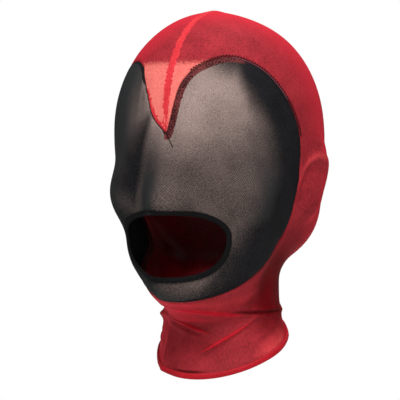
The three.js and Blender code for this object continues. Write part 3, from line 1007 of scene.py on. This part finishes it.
def finer(coarse, columns, rows):
    """A coarse grid read at more columns and rows, along straight lines."""
    across = np.linspace(0, len(coarse) - 1, columns)
    left = np.minimum(across.astype(int), len(coarse) - 2)
    share = (across - left)[:, None, None]
    wide = mix(coarse[left], coarse[left + 1], share)
    down = np.linspace(0, coarse.shape[1] - 1, rows)
    top = np.minimum(down.astype(int), coarse.shape[1] - 2)
    return mix(wide[:, top], wide[:, top + 1], (down - top)[None, :, None])


def flat_cut(points, is_loop):
    """The flat cut of a grid of points in millimetres: UV in metres, with its width, length and area."""
    columns, rows = points.shape[:2]
    coarse = points[::COARSE, ::COARSE]
    flat = unwrapped(coarse, is_loop)
    if is_loop:
        flat, coarse = (np.concatenate([grid, grid[:1]]) for grid in (flat, coarse))
    area = sheet_area(coarse) * MM**2
    flat_3d = np.concatenate([flat, np.zeros((*flat.shape[:2], 1))], -1)
    flat = (flat - flat.mean((0, 1))) * math.sqrt(area / sheet_area(flat_3d))
    height = coarse[..., 2] - coarse[..., 2].mean()
    up = (flat * height[..., None]).sum((0, 1))
    up /= np.linalg.norm(up)
    flat = np.stack([flat @ (up[1], -up[0]), flat @ up], -1)
    width, length = flat.max((0, 1)) - flat.min((0, 1))
    fine = finer(flat, columns + 1 if is_loop else columns, rows)
    return FlatCut(fine[:columns], width, length, area)


def print_cut(cloth, cut):
    sides = round(cut.width, 3), "by", round(cut.length, 3)
    print(cloth, "laid flat:", *sides, "m, area", round(cut.area, 4), "m2")


print("flat cut helper ready")

# %% [markdown]
# ## The red hood
# One piece of red net covers the head, the sides and the neck, and its two edges meet in the seam over the
# crown. Its grid follows straight lines on the crown map from the face edge to the neckline, and then runs
# down the neck. Rows lie closer at the face edge, where the cloth rolls down into the seam and puckers a
# little between the stitches.

# %% Red hood
HEAD_ROWS = 64
NECK_ROWS = 80
NET_LOW, NET_HIGH = 0.30, 0.66  # the net's two layers over the head form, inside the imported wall
SEWN_GAP = 0.3
ROW_CROWDING = 1.35
Roll = namedtuple("Roll", "drop along")
ROLL = Roll(0.75, 1.3)  # how far an edge drops into its seam, and over what distance
PUCKER_WAVES = [(29, 0.4, 0.16), (47, 1.9, 0.12), (71, 4.1, 0.07)]  # count round the edge, phase, rise
PUCKER_REACH = 7.0
HEM_WIDTH = 4.2
TAPE_WALL = 0.8


def waves_at(share, waves):
    """A sum of waves by the share of the way along an edge, for ripples or an uneven edge."""
    return sum(height * np.sin(2 * math.pi * count * share + phase) for count, phase, height in waves)


def seam_relief(distance, share):
    """Height of the cloth near the face edge: the roll into the seam, and the puckers beside it."""
    near = np.exp(-((distance / ROLL.along) ** 2))
    beside = np.exp(-distance / PUCKER_REACH) * (1 - near)
    return -ROLL.drop * near + waves_at(share, PUCKER_WAVES) * beside


def lengths_down(points):
    """Distance of each place from the first of its column."""
    steps = np.linalg.norm(np.diff(points, axis=1), axis=-1)
    return np.concatenate([np.zeros((len(points), 1)), np.cumsum(steps, axis=1)], axis=1)


def hood_grid():
    """Places of the hood: columns along the face edge, rows from that edge over the head to the hem."""
    turn, depth, neck_turn = face_spots.T[..., None]
    side = np.where(neck_turn < 0, -1, 1)
    share = (np.arange(HEAD_ROWS) / HEAD_ROWS) ** ROW_CROWDING
    neck_top = neck_depth(NECKLINE, neck_turn)
    start, end = to_map(turn, depth), to_map(neck_turn, neck_top)
    head_turn, head_depth = from_map(mix(start, end, share[None, :, None]))
    tube = np.arange(NECK_ROWS + 1) / NECK_ROWS
    hem = neck_depth(HEM, neck_turn) - TAPE_WALL - SEWN_GAP
    turns = np.concatenate([side * np.abs(head_turn), neck_turn + 0 * tube], axis=1)
    depths = np.concatenate([head_depth, mix(neck_top, hem, tube)], axis=1)
    return place(turns, depths)


CROWN_CLOSED = 0.02  # half of the gap that is left where the hood's two edges meet
hood_places = hood_grid()
hood_points = hood_places.point.copy()
hood_points[:, 0] += np.vstack([face_out, face_out[:1]]) * SEWN_GAP / 2
hood_points[0, :, 0] = CROWN_CLOSED
hood_points[-1, :, 0] = -CROWN_CLOSED
edge_share = (np.arange(COLUMNS + 1) / COLUMNS)[:, None]
hood_relief = seam_relief(lengths_down(hood_points), edge_share)
hood_points += hood_places.normal * hood_relief[..., None]
hood_cut = flat_cut(hood_points, False)
hood = add_wall("red_hood", hood_points, hood_places.normal, NET_LOW, NET_HIGH, hood_cut.grid,
                red_net, False)
print_cut("hood", hood_cut)

# %% [markdown]
# ## Strips of the red net
# The places where the red looks different follow the seams and folds, so the mesh can say where they are:
# each point stores how far inside a strip it lies, or how far outside as a negative distance. The bright
# band of the crown seam sways a little over the brow, and along one flank of the peak the edge is turned
# in.

# %% Strips of the red net
Band = namedtuple("Band", "width tip_clear end_clear")
CROWN_SEAM = Band(5.5, 14.0, 2.0)
CROWN_TAPER = 24.0  # over this length the seam's band widens from the peak
PEAK_SHARE = 0.15  # of its width, at the peak
SWAY_ALONG, SEAM_SWAY = (0, 40, 110, 150), (0, 1.6, 1.6, 0)  # the band lies off the middle over the brow
FLANK_LAPS, FLANK_DEPTHS = (-2.0, 2.4, 3.2, 2.0), (56, 64, 84, 94)  # the edge turned in along one flank
PALE_DEPTHS, PALE_HALF = (43.0, 110.0), 32.0  # of the cloth stretched over the brow, and half its width
NO_LAP = -20.0
STRIP_END = 3.0  # how far a fold's strip is gone at its ends
HIGHLIGHT_END = 12.0
Patch = namedtuple("Patch", "turn depth half_turn half_depth")
UNDER_EAR = Patch(95, 206, 42, 36)  # a darker place under each ear
LOW_NECK = Patch(16, 252, 36, 18)  # a duller place low on the neck
LOW_NECK_WEAK = 18.0  # how far short of full the darker place low on the neck stays


def edge_distance(places):
    """Distance of each place of a grid from the face edge, in millimetres."""
    columns = [np.linalg.norm(column[:, None] - face_loop.point, axis=-1).min(1) for column in places.point]
    return np.stack(columns)


def crown_half(along):
    """Half the width of the crown seam's band, at a distance from the peak."""
    return CROWN_SEAM.width / 2 * mix(PEAK_SHARE, 1, np.minimum(along / CROWN_TAPER, 1))


def hood_lap():
    """Distance into the doubled cloth, in millimetres: along the crown seam and one flank of the peak."""
    front_to_back = to_map(hood_places.turn, hood_places.depth)[..., 1]
    along = np.interp(front_to_back, front_to_back[0], lengths_down(hood_points)[0])
    sway = np.interp(along, SWAY_ALONG, SEAM_SWAY)
    crown = crown_half(along) - np.abs(hood_points[..., 0] + sway)
    crown[COLUMNS // 4 : -COLUMNS // 4] = NO_LAP
    flank = np.interp(hood_places.depth, FLANK_DEPTHS, FLANK_LAPS) - edge_distance(hood_places)
    flank[: COLUMNS * 3 // 4] = NO_LAP
    return np.maximum(crown, flank)


def fold_strip(folds, end=STRIP_END):
    """Distance into the strips along some folds, in millimetres. Each strip tapers to its ends."""
    strips = []
    for fold in folds:
        strength, depth = along_fold(fold, hood_places.turn)
        strips.append(mix(-end, fold.half_width, strength) - np.abs(hood_places.depth - depth))
    return np.maximum.reduce(strips)


def rim_highlight_strip():
    """Distance into the painted highlight along the ears' rims, in millimetres."""
    strength, away = along_rim(hood_places.turn, hood_places.depth)
    return mix(-STRIP_END, EAR_RIM.half_width / 2, strength) - away


def hood_pale():
    """Distance into the paler cloth, pulled tight over the brow, in millimetres."""
    x, y, z = np.moveaxis(hood_points, -1, 0)
    return np.minimum.reduce([-z - PALE_DEPTHS[0], PALE_DEPTHS[1] + z, PALE_HALF - np.abs(x), -y])


def in_patch(patch, turns, depths):
    """Distance into an oval patch, in millimetres."""
    return (1 - np.hypot(*in_oval(patch, turns, depths))) * patch.half_depth


def mark_strip(piece, look, distance):
    """Stores the distance into a strip, given in millimetres, on both layers of a wall."""
    strip = piece.data.attributes.new(look.name, "FLOAT", "POINT")
    strip.data.foreach_set("value", np.tile(distance.ravel() * MM, 2).astype(np.float32))


mark_strip(hood, RED_LAP, hood_lap())
mark_strip(hood, RED_PALE, hood_pale())
hood_under_ear = in_patch(UNDER_EAR, np.abs(hood_places.turn), hood_places.depth)
hood_low_neck = in_patch(LOW_NECK, hood_places.turn, hood_places.depth) - LOW_NECK_WEAK
mark_strip(hood, RED_DEEP, np.maximum(hood_under_ear, hood_low_neck))
# painted highlights over the hem and under the chin
mark_strip(hood, RED_PAINTED_HIGHLIGHT, fold_strip(PAINTED_HIGHLIGHTS, HIGHLIGHT_END))
# fold ridges: denser cloth with a painted highlight
mark_strip(hood, RED_RIDGE, fold_strip(RIDGES))
# painted highlight along the ears' rims
mark_strip(hood, RED_RIM_HIGHLIGHT, rim_highlight_strip())
# painted shade along the valleys of the folds
mark_strip(hood, RED_VALLEY_SHADE, fold_strip(VALLEYS))
print("strips stored on the hood:", len(RED_STRIPS) + 1)

# %% [markdown]
# ## The black face panel
# The panel is a ring of black net between the mouth and the face edge. Its columns join a place of the
# mouth to the place of the edge with the same share of the way round. It ends inside the mouth tape, and at
# the face edge it rolls down into the seam against the hood.

# %% Black face panel
FACE_ROWS = 53
MOUTH_SET_BACK = TAPE_WALL + SEWN_GAP


def panel_grid():
    """Places of the face panel: columns round it, rows from inside the mouth tape to the face edge."""
    start = place_at(mouth_edge.point + mouth_out * MOUTH_SET_BACK)
    share = 1 - (1 - np.arange(FACE_ROWS) / (FACE_ROWS - 1)) ** ROW_CROWDING
    turns = mix(start.turn[:, None], face_loop.turn[:, None], share)
    depths = mix(start.depth[:, None], face_loop.depth[:, None], share)
    return place(turns, depths)


panel_places = panel_grid()
panel_from_edge = edge_distance(panel_places)
panel_points = panel_places.point.copy()
panel_points[:, -1] -= face_out * SEWN_GAP / 2
panel_points += panel_places.normal * seam_relief(panel_from_edge, edge_share[:-1])[..., None]
panel_cut = flat_cut(panel_points, True)
face_panel = add_wall("black_face_panel", panel_points, panel_places.normal, NET_LOW, NET_HIGH,
                      panel_cut.grid, black_net, True)
print_cut("face panel", panel_cut)

# %% [markdown]
# ## Strips of the black net
# Over the seam's allowance the panel has a dense strip, which shows maroon from the left flank of the peak
# to the arch beside it. Towards the temples and jaws, and under the arch beside the peak, painted shade
# darkens the net, and over the brow a painted highlight brightens it. How wide that shade is changes with
# the depth and differs between the sides, so a few widths at some depths describe it.

# %% Strips of the black net
FACE_SEAM_WIDTH = 4.5
FLANK_ACROSS = (-50, -44, -3, 2)  # beside the peak on the mask's right the dense edge is narrow
FLANK_EDGE_DEPTHS, FLANK_EDGES = (52, 60, 94), (2.6, 1.0, 0.8)
SHADE_DEPTHS = (38, 50, 70, 90, 130, 165, 185, 200, 218)
SHADE_LEFT = (10, 22, 31, 31, 30, 42, 34, 20, 3)  # widths at those depths
SHADE_RIGHT = (-14, -14, -12, 16, 62, 60, 48, 28, 6)
START_LEFT = (28, 28, 28, 26, 18, 14, 12, 10, 6)  # how far across it begins at those depths
START_RIGHT, NO_SHADE = -9, -14
SLOPE_LEFT, SLOPE_RIGHT = 1.8, -3.6  # how fast it widens across
ARCH_ACROSS, ARCH_SHADE = (14, 38), (-14, 12)  # and narrow painted shade under the arch beside the peak
HIGHLIT_BROW = Patch(7, 68, 38, 34)  # a painted highlight over the brow
MAROON_WIDTH = 5.3
MAROON_FROM, MAROON_TO = -1.0, 44.0  # across the face, in millimetres
MAROON_FADES = (0.5, 0.12)  # how steeply the maroon begins and ends
EAR_DEPTH = 118.0  # the peak and what is beside it lie above this


def panel_edge():
    """Distance into the dense strip along the panel's edge, in millimetres."""
    x, _, z = np.moveaxis(panel_points, -1, 0)
    narrow = np.interp(-z, FLANK_EDGE_DEPTHS, FLANK_EDGES)
    width = mix(FACE_SEAM_WIDTH, narrow, np.interp(x, FLANK_ACROSS, (0, 1, 1, 0)))
    return np.where(-z < EAR_DEPTH, width, FACE_SEAM_WIDTH) - panel_from_edge


def panel_shade():
    """Distance into the painted shade towards the temples and jaws and under the arch, in millimetres."""
    x, _, z = np.moveaxis(panel_points, -1, 0)
    left = NO_SHADE + (x - np.interp(-z, SHADE_DEPTHS, START_LEFT)) * SLOPE_LEFT
    left = np.minimum(left, np.interp(-z, SHADE_DEPTHS, SHADE_LEFT))
    right = NO_SHADE + (x - START_RIGHT) * SLOPE_RIGHT
    right = np.minimum(right, np.interp(-z, SHADE_DEPTHS, SHADE_RIGHT))
    arch = np.interp(x, ARCH_ACROSS, ARCH_SHADE)
    return np.maximum(np.where(x > 0, left, right), arch) - panel_from_edge


def panel_maroon():
    """Distance into the part of the edge that shows maroon: beside the peak, above the ears."""
    x, _, z = np.moveaxis(panel_points, -1, 0)
    begins = (x - MAROON_FROM) * MAROON_FADES[0]
    ends = (MAROON_TO - x) * MAROON_FADES[1]
    return np.minimum.reduce([MAROON_WIDTH - panel_from_edge, begins, ends, EAR_DEPTH + z])


# painted highlight over the brow
mark_strip(face_panel, BLACK_BROW_HIGHLIGHT, in_patch(HIGHLIT_BROW, panel_places.turn, panel_places.depth))
mark_strip(face_panel, BLACK_SHADE, panel_shade())
mark_strip(face_panel, BLACK_EDGE, panel_edge())
mark_strip(face_panel, MAROON_EDGE, panel_maroon())
print("strips stored on the panel:", len(BLACK_STRIPS) + 1)

# %% [markdown]
# ## Stitches
# A row of stitches is one small shape repeated along a path, which is what Geometry Nodes do well. The tree
# below takes a path with the cloth's direction stored on it, steps along it by a pitch, and at each step
# sets a stitch: two short threads that lean across by a reach, so a reach of nothing gives a straight row
# and a wide one gives the zigzag of an overlock. The threads are realized into one mesh, with a fixed seed
# for their small differences.

# %% Stitch tree
CLOTH_WAY = "cloth_way"
THREAD_SIDES = 5
THREAD_STEPS = 4
STITCH_SEED = 7
STITCH_LEAST, STITCH_MOST = (0.94, 0.85, 0.9), (1.04, 1.12, 1.1)  # of its plain size, each way


def stitch_tree():
    tree = bpy.data.node_groups.new("stitch_row", "GeometryNodeTree")
    tree.interface.new_socket("Path", in_out="INPUT", socket_type="NodeSocketGeometry")
    for label in ("Pitch", "Fill", "Reach", "Lift", "Thread Radius"):
        tree.interface.new_socket(label, in_out="INPUT", socket_type=FLOAT)
    tree.interface.new_socket("Thread", in_out="INPUT", socket_type="NodeSocketMaterial")
    tree.interface.new_socket("Stitches", in_out="OUTPUT", socket_type="NodeSocketGeometry")
    given = tree.nodes.new("NodeGroupInput").outputs
    result = tree.nodes.new("NodeGroupOutput")

    curve = add_node(tree, "GeometryNodeMeshToCurve", Mesh=given["Path"])
    steps = add_node(tree, "GeometryNodeResampleCurve", {"mode": "LENGTH"}, Curve=curve.outputs["Curve"],
                     Length=given["Pitch"])
    half = math_node(tree, "MULTIPLY", math_node(tree, "MULTIPLY", given["Pitch"], given["Fill"]), 0.5)
    lean = math_node(tree, "MULTIPLY", given["Reach"], 0.5)
    high = math_node(tree, "MULTIPLY", given["Lift"], 2.0)
    ends = [math_node(tree, "MULTIPLY", half, -1.0), half]
    threads = tree.nodes.new("GeometryNodeJoinGeometry")
    top = add_node(tree, "ShaderNodeCombineXYZ", Y=given["Reach"]).outputs["Vector"]
    for end in ends:
        foot = add_node(tree, "ShaderNodeCombineXYZ", X=end).outputs["Vector"]
        quarter = math_node(tree, "MULTIPLY", end, 0.5)
        middle = add_node(tree, "ShaderNodeCombineXYZ", X=quarter, Y=lean, Z=high).outputs["Vector"]
        arc = add_node(tree, "GeometryNodeCurveQuadraticBezier", Resolution=THREAD_STEPS, Start=foot,
                       Middle=middle, End=top)
        tree.links.new(arc.outputs["Curve"], threads.inputs["Geometry"])
    section = add_node(tree, "GeometryNodeCurvePrimitiveCircle", Resolution=THREAD_SIDES,
                       Radius=given["Thread Radius"])
    stitch = add_node(tree, "GeometryNodeCurveToMesh", Curve=threads.outputs["Geometry"],
                      Profile_Curve=section.outputs["Curve"], Fill_Caps=True)

    along = tree.nodes.new("GeometryNodeInputTangent").outputs["Tangent"]
    way = add_node(tree, "GeometryNodeInputNamedAttribute", {"data_type": "FLOAT_VECTOR"}, Name=CLOTH_WAY)
    facing = add_node(tree, "FunctionNodeAlignRotationToVector", {"axis": "X"}, Vector=along)
    lying = add_node(tree, "FunctionNodeAlignRotationToVector", {"axis": "Z", "pivot_axis": "X"},
                     Rotation=facing.outputs["Rotation"], Vector=way.outputs["Attribute"])
    size = add_node(tree, "FunctionNodeRandomValue", {"data_type": "FLOAT_VECTOR"}, Min=STITCH_LEAST,
                    Max=STITCH_MOST, Seed=STITCH_SEED)
    rows = add_node(tree, "GeometryNodeInstanceOnPoints", Points=steps.outputs["Curve"],
                    Instance=stitch.outputs["Mesh"], Rotation=lying.outputs["Rotation"],
                    Scale=size.outputs["Value"])
    solid = add_node(tree, "GeometryNodeRealizeInstances", Geometry=rows.outputs["Instances"])
    dyed = add_node(tree, "GeometryNodeSetMaterial", Geometry=solid.outputs["Geometry"],
                    Material=given["Thread"])
    tree.links.new(dyed.outputs["Geometry"], result.inputs["Stitches"])
    return tree


STITCH_TREE = stitch_tree()
print("stitch tree:", len(STITCH_TREE.nodes), "nodes")

# %% [markdown]
# Each row is made from its own path. The tree runs as a modifier, and its result is kept as a plain mesh,
# so a row is an object like any other.

# %% Row of stitches
PATH_GAP = 8.0  # a longer step between two points of a path isn't sewn


def add_stitches(name, points, normals, material, **sizes):
    """Stitches along a path of points in millimetres, joined where they are near, with sizes in metres."""
    steps = np.linalg.norm(np.roll(points, -1, axis=0) - points, axis=1)
    edges = [(i, (i + 1) % len(points)) for i in np.flatnonzero(steps < PATH_GAP).tolist()]
    path = bpy.data.meshes.new(name)
    path.from_pydata((points * MM).tolist(), edges, [])
    way = path.attributes.new(CLOTH_WAY, "FLOAT_VECTOR", "POINT")
    way.data.foreach_set("vector", normals.astype(np.float32).ravel())
    piece = bpy.data.objects.new(name, path)
    bpy.context.scene.collection.objects.link(piece)
    modifier = piece.modifiers.new("stitch_row", "NODES")
    modifier.node_group = STITCH_TREE
    socket = {item.name: item.identifier for item in STITCH_TREE.interface.items_tree}
    for label, size in sizes.items():
        modifier[socket[label.replace("_", " ")]] = size
    modifier[socket["Thread"]] = material
    made = bpy.data.meshes.new_from_object(piece.evaluated_get(bpy.context.evaluated_depsgraph_get()))
    piece.modifiers.clear()
    piece.data = made
    made.name = name
    made.shade_smooth()
    bpy.data.meshes.remove(path)
    return piece


print("stitch helper ready")

# %% [markdown]
# ## The face seam
# Inside the face edge the two nets are sewn together and overlocked. The allowance is a dark brown band, a
# few millimetres wide, under the panel's edge, with a ragged inner edge and a zigzag of thread over it.

# %% Face seam
SEAM_LOW, SEAM_HIGH = -1.05, -0.62
SEAM_ROWS = 6
RAGGED_WAVES = [(61, 0.3, 0.16), (97, 2.2, 0.12), (139, 1.1, 0.08)]
SEAM_LAP = 0.9  # of the allowance under the hood's edge, so no light comes through the seam
ZIGZAG_INSET = 0.2  # of the zigzag, from the allowance's ragged edge
THREAD_CLEAR = 0.16  # of a zigzag's thread, over its band


def under_panel(inset):
    """Places of the cloth at a distance from the face edge, towards the mouth. The distance may vary."""
    return place_at(face_loop.point - face_out * np.reshape(inset, (-1, 1)))


def seam_band():
    """Grid of the face seam's allowance, and its flat UV in metres."""
    share = np.arange(COLUMNS) / COLUMNS
    width = FACE_SEAM_WIDTH + waves_at(share, RAGGED_WAVES)
    rows = [under_panel(mix(width, -SEAM_LAP, i / (SEAM_ROWS - 1))) for i in range(SEAM_ROWS)]
    points = np.stack([row.point for row in rows], 1)
    normals = np.stack([row.normal for row in rows], 1)
    around = loop_length(face_loop.point) * share[:, None] + np.zeros((1, SEAM_ROWS))
    across = FACE_SEAM_WIDTH * np.linspace(0, 1, SEAM_ROWS)[None, :] + np.zeros((COLUMNS, 1))
    return points, normals, np.stack([around, across], -1) * MM


seam_points, seam_normals, seam_flat = seam_band()
face_seam = add_wall("face_seam_band", seam_points, seam_normals, SEAM_LOW, SEAM_HIGH, seam_flat,
                     seam_net, True)
zigzag = under_panel(np.full(COLUMNS, FACE_SEAM_WIDTH - ZIGZAG_INSET))
zigzag_line = zigzag.point + zigzag.normal * (SEAM_HIGH + THREAD_CLEAR)
face_stitches = add_stitches(
    "face_seam_stitches", zigzag_line[::-1], zigzag.normal[::-1], black_thread,
    Pitch=2.6 * MM, Fill=1.0, Reach=-3.4 * MM, Lift=0.12 * MM, Thread_Radius=0.14 * MM)
print("face seam stitches:", len(face_stitches.data.polygons), "faces")

# %% [markdown]
# ## Threads outside the face seam
# Over the brows and down to the ears the seam's thread comes through to the outside: short black loops over
# the red edge, and at the temples a fine pinkish line on the black one. At the peak a black tail of thread
# hangs. They are rows of the same stitches, sewn only where they show.

# %% Threads outside the face seam
LOOP_REACH = 1.6  # of the overlock's loops, over the hood's edge
LOOP_START = -0.2  # of the loops, from the face edge
LOOP_LIE = NET_HIGH + 0.2
Shown = namedtuple("Shown", "right left depth")
LOOPS_SHOWN = Shown(-64.0, 13.0, 96.0)  # how far across they begin on either side, and how deep they end
LINE_INSET = 1.0  # of the pinkish line, from the face edge
LINE_SHOWN = Shown(-60.0, 36.0, 68.0)
TAIL_TURNS, TAIL_DEPTHS = (0.3, 3.2), (94.0, 104.0)
TAIL_STEPS = 9


def threaded(places, height, shown):
    """The points and normals, over both brows, of places that go round with the face edge."""
    across = face_loop.point[:, 0]
    is_shown = (face_loop.depth < shown.depth) & ((across < shown.right) | (across > shown.left))
    return (places.point + places.normal * height)[is_shown], places.normal[is_shown]


loop_line, loop_normals = threaded(place_at(face_loop.point + face_out * LOOP_START), LOOP_LIE, LOOPS_SHOWN)
face_loops = add_stitches(
    "face_edge_loops", loop_line, loop_normals, black_thread,
    Pitch=2.2 * MM, Fill=0.7, Reach=LOOP_REACH * MM, Lift=0.2 * MM, Thread_Radius=0.28 * MM)
edge_line, edge_normals = threaded(under_panel(np.full(COLUMNS, LINE_INSET)), LOOP_LIE, LINE_SHOWN)
face_line = add_stitches(
    "face_edge_line", edge_line, edge_normals, pink_thread,
    Pitch=1.8 * MM, Fill=0.8, Reach=0.0, Lift=0.15 * MM, Thread_Radius=0.18 * MM)
tail_places = place(np.linspace(*TAIL_TURNS, TAIL_STEPS), np.linspace(*TAIL_DEPTHS, TAIL_STEPS))
thread_tail = add_stitches(
    "peak_thread_tail", tail_places.point + tail_places.normal * LOOP_LIE, tail_places.normal, black_thread,
    Pitch=2.0 * MM, Fill=1.1, Reach=0.0, Lift=0.2 * MM, Thread_Radius=0.3 * MM)
for row in (face_loops, face_line, thread_tail):
    print(row.name, len(row.data.polygons), "faces")

# %% [markdown]
# ## The crown seam
# Where the hood's two edges meet over the crown, their allowances lie open underneath and double the net,
# so the seam shows as a brighter band that narrows to the peak. It is a strip under the hood's first and
# last columns, with ragged edges and a zigzag of red thread.

# %% Crown seam
CROWN_ROWS = 9
CROWN_WAVES = [(23, 0.7, 0.22), (41, 2.9, 0.16), (67, 0.2, 0.1)]
OTHER_SIDE = 0.37  # how far on those waves are along the other edge
CROWN_LOW, CROWN_HIGH = -0.95, -0.45
CROWN_STEPS = 220
SETTLE_STEPS = 4  # to lay the strip on the form


def crown_band():
    """Grid of the crown seam's allowance, from the peak to the hem, and its flat UV in metres."""
    middle = (hood_places.point[0] + hood_places.point[-1]) / 2
    length = run_length(middle)
    along = np.linspace(CROWN_SEAM.tip_clear, length[-1] - HEM_WIDTH - CROWN_SEAM.end_clear, CROWN_STEPS)
    line = read_line(along, length, middle)
    way = read_line(along, length, hood_places.normal[0])
    way[:, 0] = 0
    way /= np.linalg.norm(way, axis=1, keepdims=True)
    share = along / length[-1]
    sides = np.linspace(1, -1, CROWN_ROWS)
    waves = [waves_at(share + OTHER_SIDE * (side < 0), CROWN_WAVES) for side in sides]
    shift = (crown_half(along)[:, None] + np.stack(waves, 1)) * sides
    points = line[:, None] + shift[..., None] * np.array((1.0, 0, 0))
    normals = np.repeat(way[:, None], CROWN_ROWS, axis=1)
    for _ in range(SETTLE_STEPS):
        points = points - normals * form_distance(points)[..., None]
        normals = form_normal(points)
    points = points + normals * fold_rise(turn_of(points), -points[..., 2])[..., None]
    flat = np.stack([along[:, None] + 0 * sides, shift], -1) * MM
    return points, normals, flat


crown_points, crown_normals, crown_flat = crown_band()
crown_seam = add_wall("crown_seam_band", crown_points, crown_normals, CROWN_LOW, CROWN_HIGH, crown_flat,
                      red_fold, False)
crown_line = crown_points[:, 1] + crown_normals[:, 1] * (CROWN_HIGH + THREAD_CLEAR)
crown_stitches = add_stitches(
    "crown_seam_stitches", crown_line, crown_normals[:, 1], red_thread, Pitch=2.6 * MM, Fill=1.0,
    Reach=-3.2 * MM, Lift=0.1 * MM, Thread_Radius=0.16 * MM)
print("crown seam stitches:", len(crown_stitches.data.polygons), "faces")

# %% [markdown]
# ## Folded edges
# The mouth is bound with elastic tape folded over the net's edge, and the hem is the net's own end turned
# up. Both are one profile, a fold with two legs, carried along an edge. The profile is given as distances
# in from the finished edge and heights over the cloth, and each distance is looked up on the cloth itself,
# so the legs lie on it all the way.

# %% Folded edge helper
EdgeFold = namedtuple("EdgeFold", "width wall room puff")
BEND_STEPS = 8
LEG_STEPS = 8
PUFF_POWER = 0.7  # below 1 the legs puff up fuller
DIGITS = 6  # of a distance, by which places on the cloth are found again


def fold_profile(fold):
    """(distance, height) pairs round the section of a folded edge: outer face first, then the inside."""
    middle = (NET_LOW + NET_HIGH) / 2
    inner = (NET_HIGH - NET_LOW) / 2 + fold.room
    outer = inner + fold.wall
    bend = np.linspace(math.pi / 2, -math.pi / 2, BEND_STEPS)
    leg = np.linspace(fold.width, outer, LEG_STEPS)
    puff = fold.puff * np.sin(math.pi * np.linspace(0.0, 1, LEG_STEPS)) ** PUFF_POWER
    out_leg = np.stack([leg, outer + puff], -1)
    round_out = np.stack([outer - outer * np.cos(bend), outer * np.sin(bend)], -1)
    back_leg = out_leg[::-1] * (1, -1)
    round_in = np.stack([outer - inner * np.cos(bend[::-1]), inner * np.sin(bend[::-1])], -1)
    back_tip, front_tip = [[fold.width, -inner]], [[fold.width, inner]]
    ring = np.vstack([out_leg, round_out[1:-1], back_leg, back_tip, round_in, front_tip])
    return ring + (0, middle)


def add_folded_edge(name, fold, look_up, material, is_reversed):
    """A folded edge: look_up gives the cloth's places at a distance in from the finished edge."""
    profile = fold_profile(fold)
    distances = profile[:, 0].round(DIGITS)
    known = {distance: look_up(distance) for distance in np.unique(distances)}
    rows = [known[distance] for distance in distances]
    grid = np.stack([row.point + row.normal * height for row, height in zip(rows, profile[:, 1])], 1)
    columns, size = grid.shape[:2]
    index = np.arange(columns * size).reshape(columns, size)
    quads = grid_quads(np.pad(index, (0, 1), "wrap"))
    if is_reversed:
        quads = quads[:, ::-1]
    around = loop_length(known[min(known)].point) * np.arange(columns) / columns
    flat = np.stack(np.broadcast_arrays(around[:, None], run_length(profile)), -1).reshape(-1, 2) * MM
    return add_mesh(name, grid.reshape(-1, 3), quads, flat, material)


print("folded edge helper ready")

# %% [markdown]
# ## The mouth tape
# Black elastic, a few millimetres wide, folded over the edge of the mouth opening. The panel ends between
# its two legs.

# %% Mouth tape
MOUTH_TAPE = EdgeFold(4.0, 0.62, 0.2, 0.18)
mouth_binding = add_folded_edge(
    "mouth_tape", MOUTH_TAPE, lambda d: place_at(mouth_edge.point + mouth_out * d), black_elastic, True)
print("mouth tape:", len(mouth_binding.data.polygons), "faces")

# %% [markdown]
# ## The hem
# The neck ends in a turned hem, doubled and so brighter than the net. It follows the tilted end of the neck
# tube all round. A row of small red stitches holds its upper edge.

# %% Neck hem
HEM_FOLD = EdgeFold(HEM_WIDTH, 0.45, 0.2, 0.5)
HEM_THREAD_INSET, HEM_THREAD_LIE = 0.7, 1.55  # of its stitches, from the upper edge and over the form
hem_turns = np.linspace(-180, 180, COLUMNS, endpoint=False)


def hem_places(distance):
    """Places of the cloth at a distance up from the finished hem."""
    return place(hem_turns, neck_depth(HEM, hem_turns) - distance)


neck_hem = add_folded_edge("neck_hem_fold", HEM_FOLD, hem_places, red_fold, False)
hem_line = hem_places(HEM_WIDTH - HEM_THREAD_INSET)
hem_stitches = add_stitches(
    "neck_hem_stitches", hem_line.point + hem_line.normal * HEM_THREAD_LIE, hem_line.normal, red_thread,
    Pitch=2.8 * MM, Fill=0.8, Reach=0.0, Lift=0.12 * MM, Thread_Radius=0.14 * MM)
print("hem stitches:", len(hem_stitches.data.polygons), "faces")

# %% [markdown]
# ## What each piece stands for
# Every piece rides on the mask's one body and names the imported solid that it replaces, or only the finish
# that it shares.

# %% Bodies and slots
PieceRow = namedtuple("PieceRow", "piece replaced slot")
PIECES = [
    PieceRow(hood, "hood", "red_net"),
    PieceRow(face_panel, "face_panel", "black_net"),
    PieceRow(face_seam, "face_seam", "overlock_thread"),
    PieceRow(face_stitches, None, "overlock_thread"),
    PieceRow(face_loops, None, "overlock_thread"),
    PieceRow(face_line, None, "overlock_thread"),
    PieceRow(thread_tail, None, "overlock_thread"),
    PieceRow(crown_seam, "crown_seam", "red_fold"),
    PieceRow(crown_stitches, None, "red_fold"),
    PieceRow(mouth_binding, "mouth_binding", "black_elastic"),
    PieceRow(neck_hem, "neck_hem", "red_fold"),
    PieceRow(hem_stitches, None, "red_fold"),
]
for row in PIECES:
    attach(row.piece, "root")
    if row.replaced:
        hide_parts(row.replaced)
for row in PIECES:
    row.piece.data.calc_loop_triangles()
    print(row.piece.name, len(row.piece.data.loop_triangles), "triangles")
